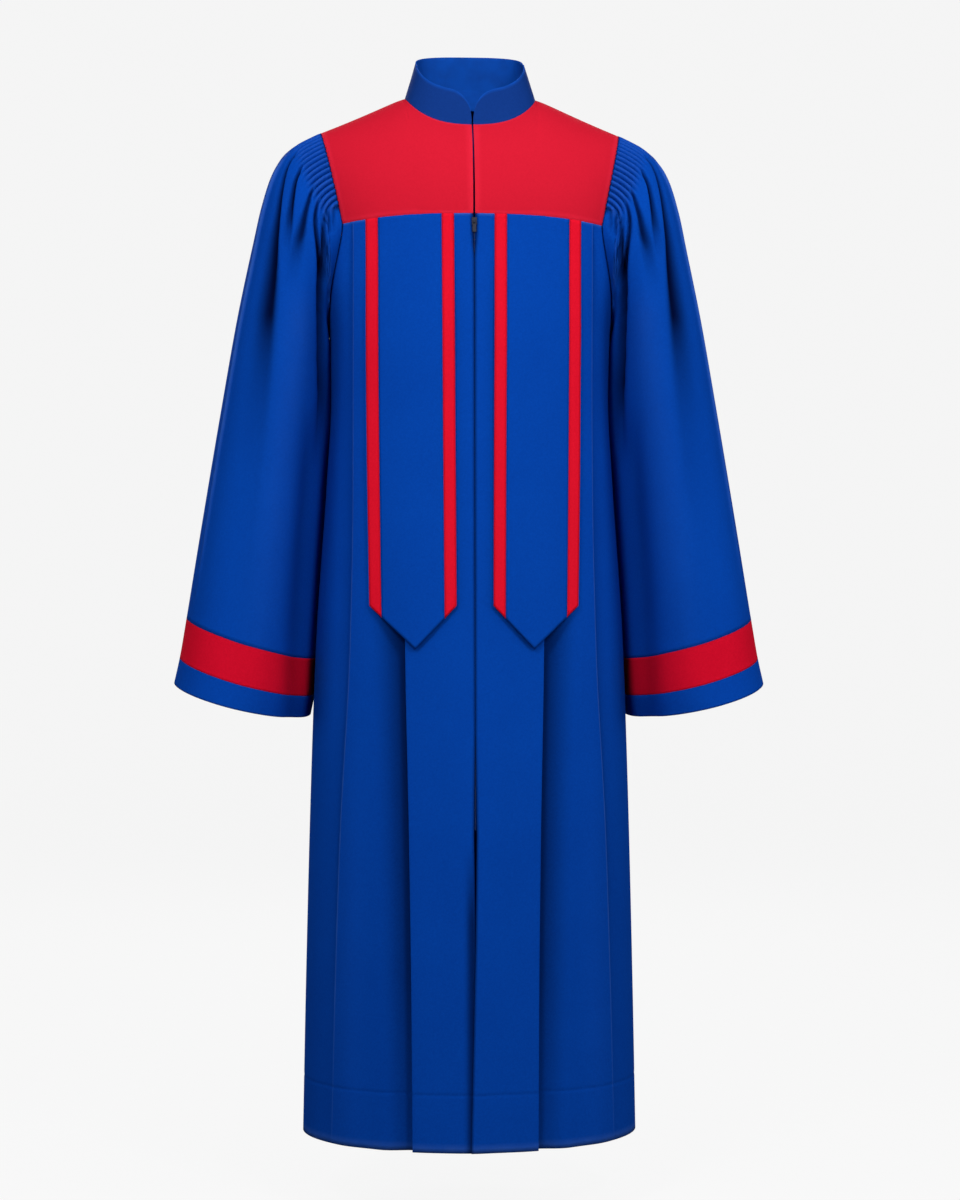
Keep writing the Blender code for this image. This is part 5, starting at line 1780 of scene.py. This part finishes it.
@dataclass
class Tabs:
    """Pointed tabs that hang from the yoke seam, each a blue strip between two red bands."""

    inner_top: float = 0.0253
    inner_bottom: float = 0.0226
    outer_top: float = 0.1335
    outer_bottom: float = 0.1275
    tip_x: float = 0.0726
    corner_drop: float = 0.643
    tip_drop: float = 0.696
    band_width: float = 0.0150
    stand_off_top: float = 0.0016
    stand_off: float = 0.0045
    stand_off_run: float = 3.0
    wave_height: float = 0.0012
    ripple_height: float = 0.0005
    ripple_turns: tuple[float, float] = (7.0, 3.0)
    edge_turn: float = 0.0012
    edge_shade: float = 0.45
    rows: int = 130
    tab_columns: int = 14
    band_columns: int = 5
    middle: float = -0.4
    tab_cut: Cut = Cut(0.080, 0.54, 0.0410, "hung", ("yoke_front_left", "yoke_front_right"))
    band_cut: Cut = Cut(0.0150, 0.50, 0.0073, "hung", ("yoke_front_left", "yoke_front_right"))

    def edges(self, drop: float) -> tuple[float, float]:
        """Inner and outer distance of a tab's edges from the centre line at a drop."""
        share = (drop - BODY.seam_drop) / (self.corner_drop - BODY.seam_drop)
        return lerp(self.inner_top, self.inner_bottom, share), lerp(self.outer_top, self.outer_bottom, share)

    def end_drop(self, x: float) -> float:
        """Drop of the pointed end at a distance from the centre line."""
        inner, outer = self.edges(self.corner_drop)
        reach = (self.tip_x - inner) if x < self.tip_x else (outer - self.tip_x)
        return lerp(self.tip_drop, self.corner_drop, min(abs(x - self.tip_x) / reach, 1.0))

    def wave(self, share: float, along: float) -> float:
        """How far the tab stands off the front beyond its plain hang."""
        down, across = self.ripple_turns
        wave = self.wave_height * math.sin(math.pi * share) * ease(along * 2.0)
        return wave + self.ripple_height * math.sin(down * along + across * share)

    def rows_between(self, side: Side, places: Sequence[float]) -> list[list[Vector]]:
        """Rows of a strip of a tab at shares of its width."""
        rows = []
        inner_end, outer_end = self.edges(self.corner_drop)
        for along in spread(0.0, 1.0, self.rows):
            line = []
            for share in places:
                top_x = lerp(self.inner_top, self.outer_top, share)
                end = self.end_drop(lerp(inner_end, outer_end, share))
                drop = lerp(BODY.yoke_seam(top_x) + SEAM_GAP, end, along)
                inner, outer = self.edges(drop)
                x = lerp(inner, outer, share)
                hang = lerp(self.stand_off_top, self.stand_off, ease(along * self.stand_off_run))
                line.append(BODY.at_x(side, Face.FRONT, x, drop, -(hang + self.wave(share, along))))
            rows.append(line)
        return rows

    def build_strip(self, side: Side, node: str, places: Sequence[float], finish: ClothFinish) -> None:
        """One strip of a tab at shares of its width, with its free edges turned in."""
        grid = ClothGrid.from_rows(self.rows_between(side, places), on_axis(self.middle))
        for edge in (Edge.FIRST, Edge.LAST):
            grid.draw_in(edge, SEAM_GAP / 2.0)
        for edge in (Edge.FIRST, Edge.LAST, Edge.BOTTOM):
            # Painted shade along the free edges, where they turn in.
            grid.shade(edge, self.edge_shade)
            grid.turn_in(edge, self.edge_turn)
        finish_cloth(grid, node, finish)

    def build(self) -> None:
        """Both tabs with their bands."""
        band = self.band_width / (self.outer_top - self.inner_top)
        tip = (self.tip_x - self.inner_bottom) / (self.outer_bottom - self.inner_bottom)
        middle = spread(band, tip, self.tab_columns)
        middle += spread(tip, 1.0 - band, self.tab_columns, after_start=True)
        for side in Side:
            label = side.label
            self.build_strip(side, f"tab_{label}", middle, BLUE_CLOTH)
            for name, start, end in (("inner", 0.0, band), ("outer", 1.0 - band, 1.0)):
                places = spread(start, end, self.band_columns)
                self.build_strip(side, f"tab_band_{label}_{name}", places, BAND_CLOTH)


@dataclass
class Zip:
    """Zip with its tapes, coils, slider and pull tab."""

    tape_inner: float = 0.0012
    tape_width: float = 0.0125
    tape_depth: float = 0.0017
    end_drop: float = 0.918
    slider_top: float = 0.1637
    slider_length: float = 0.0088
    tooth_pitch: float = 0.0015
    tooth_width: float = 0.0016
    tooth_radius: float = 0.00055
    tooth_depth: float = 0.0003
    tape_cloth: float = 0.0006
    middle: float = -0.4
    tape_columns: int = 6
    yoke_rows: int = 30
    front_rows: int = 120
    tape_cut: Cut = Cut(0.0125, 0.89, 0.0110, "stretched", ("front_left", "front_right"))

    def line(self, side: Side, x: float, inward: float) -> list[Vector]:
        """Points down the closure at a distance from the centre line."""
        points = []
        top = YOKE.neckline(Face.FRONT, 0.0)
        yoke = [YOKE.point(Face.FRONT, side, top, share) for share in spread(0.0, 1.0, self.yoke_rows)]
        for above, below in zip(yoke, yoke[1:]):
            fall = (below - above).normalized()
            outward = Vector((0.0, fall.z, -fall.y))
            points.append(Vector((side.value * x, above.y, above.z)) - outward * inward)
        for drop in spread(BODY.seam_drop, self.end_drop, self.front_rows):
            points.append(BODY.at_x(side, Face.FRONT, x, drop, inward))
        return points[1:]

    def build_tape(self, side: Side) -> None:
        """One tape."""
        places = spread(self.tape_inner, self.tape_inner + self.tape_width, self.tape_columns)
        columns = [self.line(side, x, self.tape_depth) for x in places]
        rows = [list(row) for row in zip(*columns)]
        grid = ClothGrid.from_rows(rows, on_axis(self.middle))
        finish_cloth(grid, f"zip_tape_{side.label}", BLUE_TAPE, self.tape_cloth)

    def build_coil(self) -> None:
        """Teeth of the closed chain below the slider."""
        work = bmesh.new()
        bottom = self.slider_top + self.slider_length
        count = int((self.end_drop - bottom) / self.tooth_pitch)
        for index in range(count):
            drop = bottom + (index + 0.5) * self.tooth_pitch
            inward = self.tape_depth + self.tooth_depth
            self.add_tooth(work, BODY.at_x(Side.LEFT, Face.FRONT, 0.0, drop, inward))
        mesh = bpy.data.meshes.new("zip_chain_coil")
        work.to_mesh(mesh)
        work.free()
        mesh.shade_smooth()
        piece = add_object(mesh.name, mesh)
        ZIP_COIL.dress(piece)
        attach(piece, ROBE)
        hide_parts("zip_chain")
        LOG.info("%s: %d faces", piece.name, len(mesh.polygons))

    def add_tooth(self, work: bmesh.types.BMesh, spot: Vector) -> None:
        """Add one coil turn, a small rounded bar across the chain."""
        bar = bmesh.ops.create_cone(work, cap_ends=True, segments=8, radius1=self.tooth_radius,
                                    radius2=self.tooth_radius, depth=self.tooth_width)
        turned = Matrix.Translation(spot) @ Matrix.Rotation(RIGHT_ANGLE, 4, "Y")
        bmesh.ops.transform(work, matrix=turned, verts=bar["verts"])

    def dress_metal(self) -> None:
        """Give the slider and the pull tab their lacquered metal."""
        for node in ("zip_slider", "zip_pull"):
            ZIP_METAL.dress(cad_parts[node])
            LOG.info("%s: dressed", node)

    def build(self) -> None:
        """The zip."""
        for side in Side:
            self.build_tape(side)
        self.build_coil()
        self.dress_metal()


LIGHTS = (
    ("key_left", (-1.05, -2.2, 1.05), -0.30, 0.7, 36.0),
    ("key_right", (1.05, -2.2, 1.05), -0.30, 0.7, 35.0),
    ("low_left", (-2.2, -1.2, -0.30), -0.6, 1.0, 11.0),
    ("low_right", (2.2, -1.2, -0.30), -0.6, 1.0, 16.0),
    ("top", (0.0, -1.0, 2.2), -0.2, 1.0, 8.0),
    ("back_left", (-0.9, 2.9, 1.1), -0.5, 1.2, 24.0),
    ("back_right", (0.9, 2.9, 1.1), -0.5, 1.2, 24.0),
)


@dataclass
class Studio:
    """Camera, two soft keys, weaker low, top and back lights, and a pale floor that sweeps up."""

    distance: float = 3.3
    yaw: float = 3.1
    view_height: float = 1.536
    level: float = -0.636
    aside: float = 0.01344
    film: float = 36.0
    floor_drop: float = 1.40
    floor_near: float = -8.0
    floor_far: float = 6.5
    floor_half: float = 9.0
    sweep_radius: float = 1.2
    sweep_top: float = 7.0
    sweep_steps: int = 24
    paper_grain: float = 30.0
    paper_light: float = 0.905
    world_colour: Colour = (0.94, 0.95, 0.97)
    world_strength: float = 0.07

    def build_camera(self) -> None:
        """Camera at the photograph's angle."""
        data = bpy.data.cameras.new("camera")
        data.sensor_width = self.film
        data.lens = self.film * self.distance / self.view_height
        camera = add_object(data.name, data)
        yaw = math.radians(self.yaw)
        ahead = Vector((math.sin(yaw), math.cos(yaw), 0.0))
        across = Vector((math.cos(yaw), -math.sin(yaw), 0.0))
        camera.location = -ahead * self.distance + across * self.aside + on_axis(self.level)
        camera.rotation_euler = (RIGHT_ANGLE, 0.0, -yaw)
        bpy.context.scene.camera = camera

    def build_light(self, name: str, place: tuple[float, float, float], aim: float, size: float,
                    power: float) -> None:
        """Soft square light.

        Args:
            name: Its name.
            place: Where it stands.
            aim: Height of the point that it faces in the middle of the robe.
            size: Its width and height.
            power: Its power in watts.
        """
        data = bpy.data.lights.new(name, "AREA")
        data.shape = "RECTANGLE"
        data.size = data.size_y = size
        data.energy = power
        light = add_object(name, data)
        light.location = place
        light.rotation_euler = (on_axis(aim) - Vector(place)).to_track_quat("-Z", "Y").to_euler()

    def build_world(self) -> None:
        """Weak even light all round."""
        world = bpy.data.worlds.new("studio")
        bpy.context.scene.world = world
        world.use_nodes = True
        background = world.node_tree.nodes["Background"]
        feed(world.node_tree, background, {"Color": self.world_colour, "Strength": self.world_strength})

    def build_floor(self) -> None:
        """Pale paper floor that sweeps up behind the robe."""
        profile = [(self.floor_near, -self.floor_drop), (self.floor_far, -self.floor_drop)]
        for angle in spread(0.0, RIGHT_ANGLE, self.sweep_steps, after_start=True):
            rise = self.sweep_radius * (1.0 - math.cos(angle))
            profile.append((self.floor_far + self.sweep_radius * math.sin(angle), -self.floor_drop + rise))
        profile.append((self.floor_far + self.sweep_radius, self.sweep_top))
        mesh = bpy.data.meshes.new("paper_sweep")
        points = [(x, y, z) for y, z in profile for x in (-self.floor_half, self.floor_half)]
        faces = [(2 * i, 2 * i + 1, 2 * i + 3, 2 * i + 2) for i in range(len(profile) - 1)]
        mesh.from_pydata(points, [], faces)
        mesh.shade_smooth()
        sweep = add_object(mesh.name, mesh)
        sweep.data.materials.append(self.paper())
        sweep.visible_diffuse = False
        sweep.visible_glossy = False

    def paper(self) -> bpy.types.Material:
        """Pale matt paper with a faint grain, lit evenly."""
        material, tree, shader = start_material("pale_paper")
        grain = add_noise(tree, self.paper_grain, 3.0)
        feed(tree, shader, {
            "Base Color": add_mix(tree, grain, (0.040, 0.040, 0.040), (0.045, 0.045, 0.045)),
            "Roughness": 0.95,
            "Specular IOR Level": 0.0,
            "Emission Color": (1.0, 1.0, 1.0),
            "Emission Strength": self.paper_light,
        })
        return material

    def build(self) -> None:
        """The whole studio."""
        self.build_camera()
        for light in LIGHTS:
            self.build_light(*light)
        self.build_world()
        self.build_floor()
        bpy.context.scene.view_settings.view_transform = "Standard"


def main() -> None:
    """Dress the robe and set the studio up."""
    logging.basicConfig(level=logging.INFO, format="%(name)s %(message)s")
    for part in (Studio(), Yokes(), BodyPanels(), Sleeves(), Collar(), Tabs(), Zip()):
        part.build()
        LOG.info("%s built", type(part).__name__)


if __name__ == "__main__":
    main()
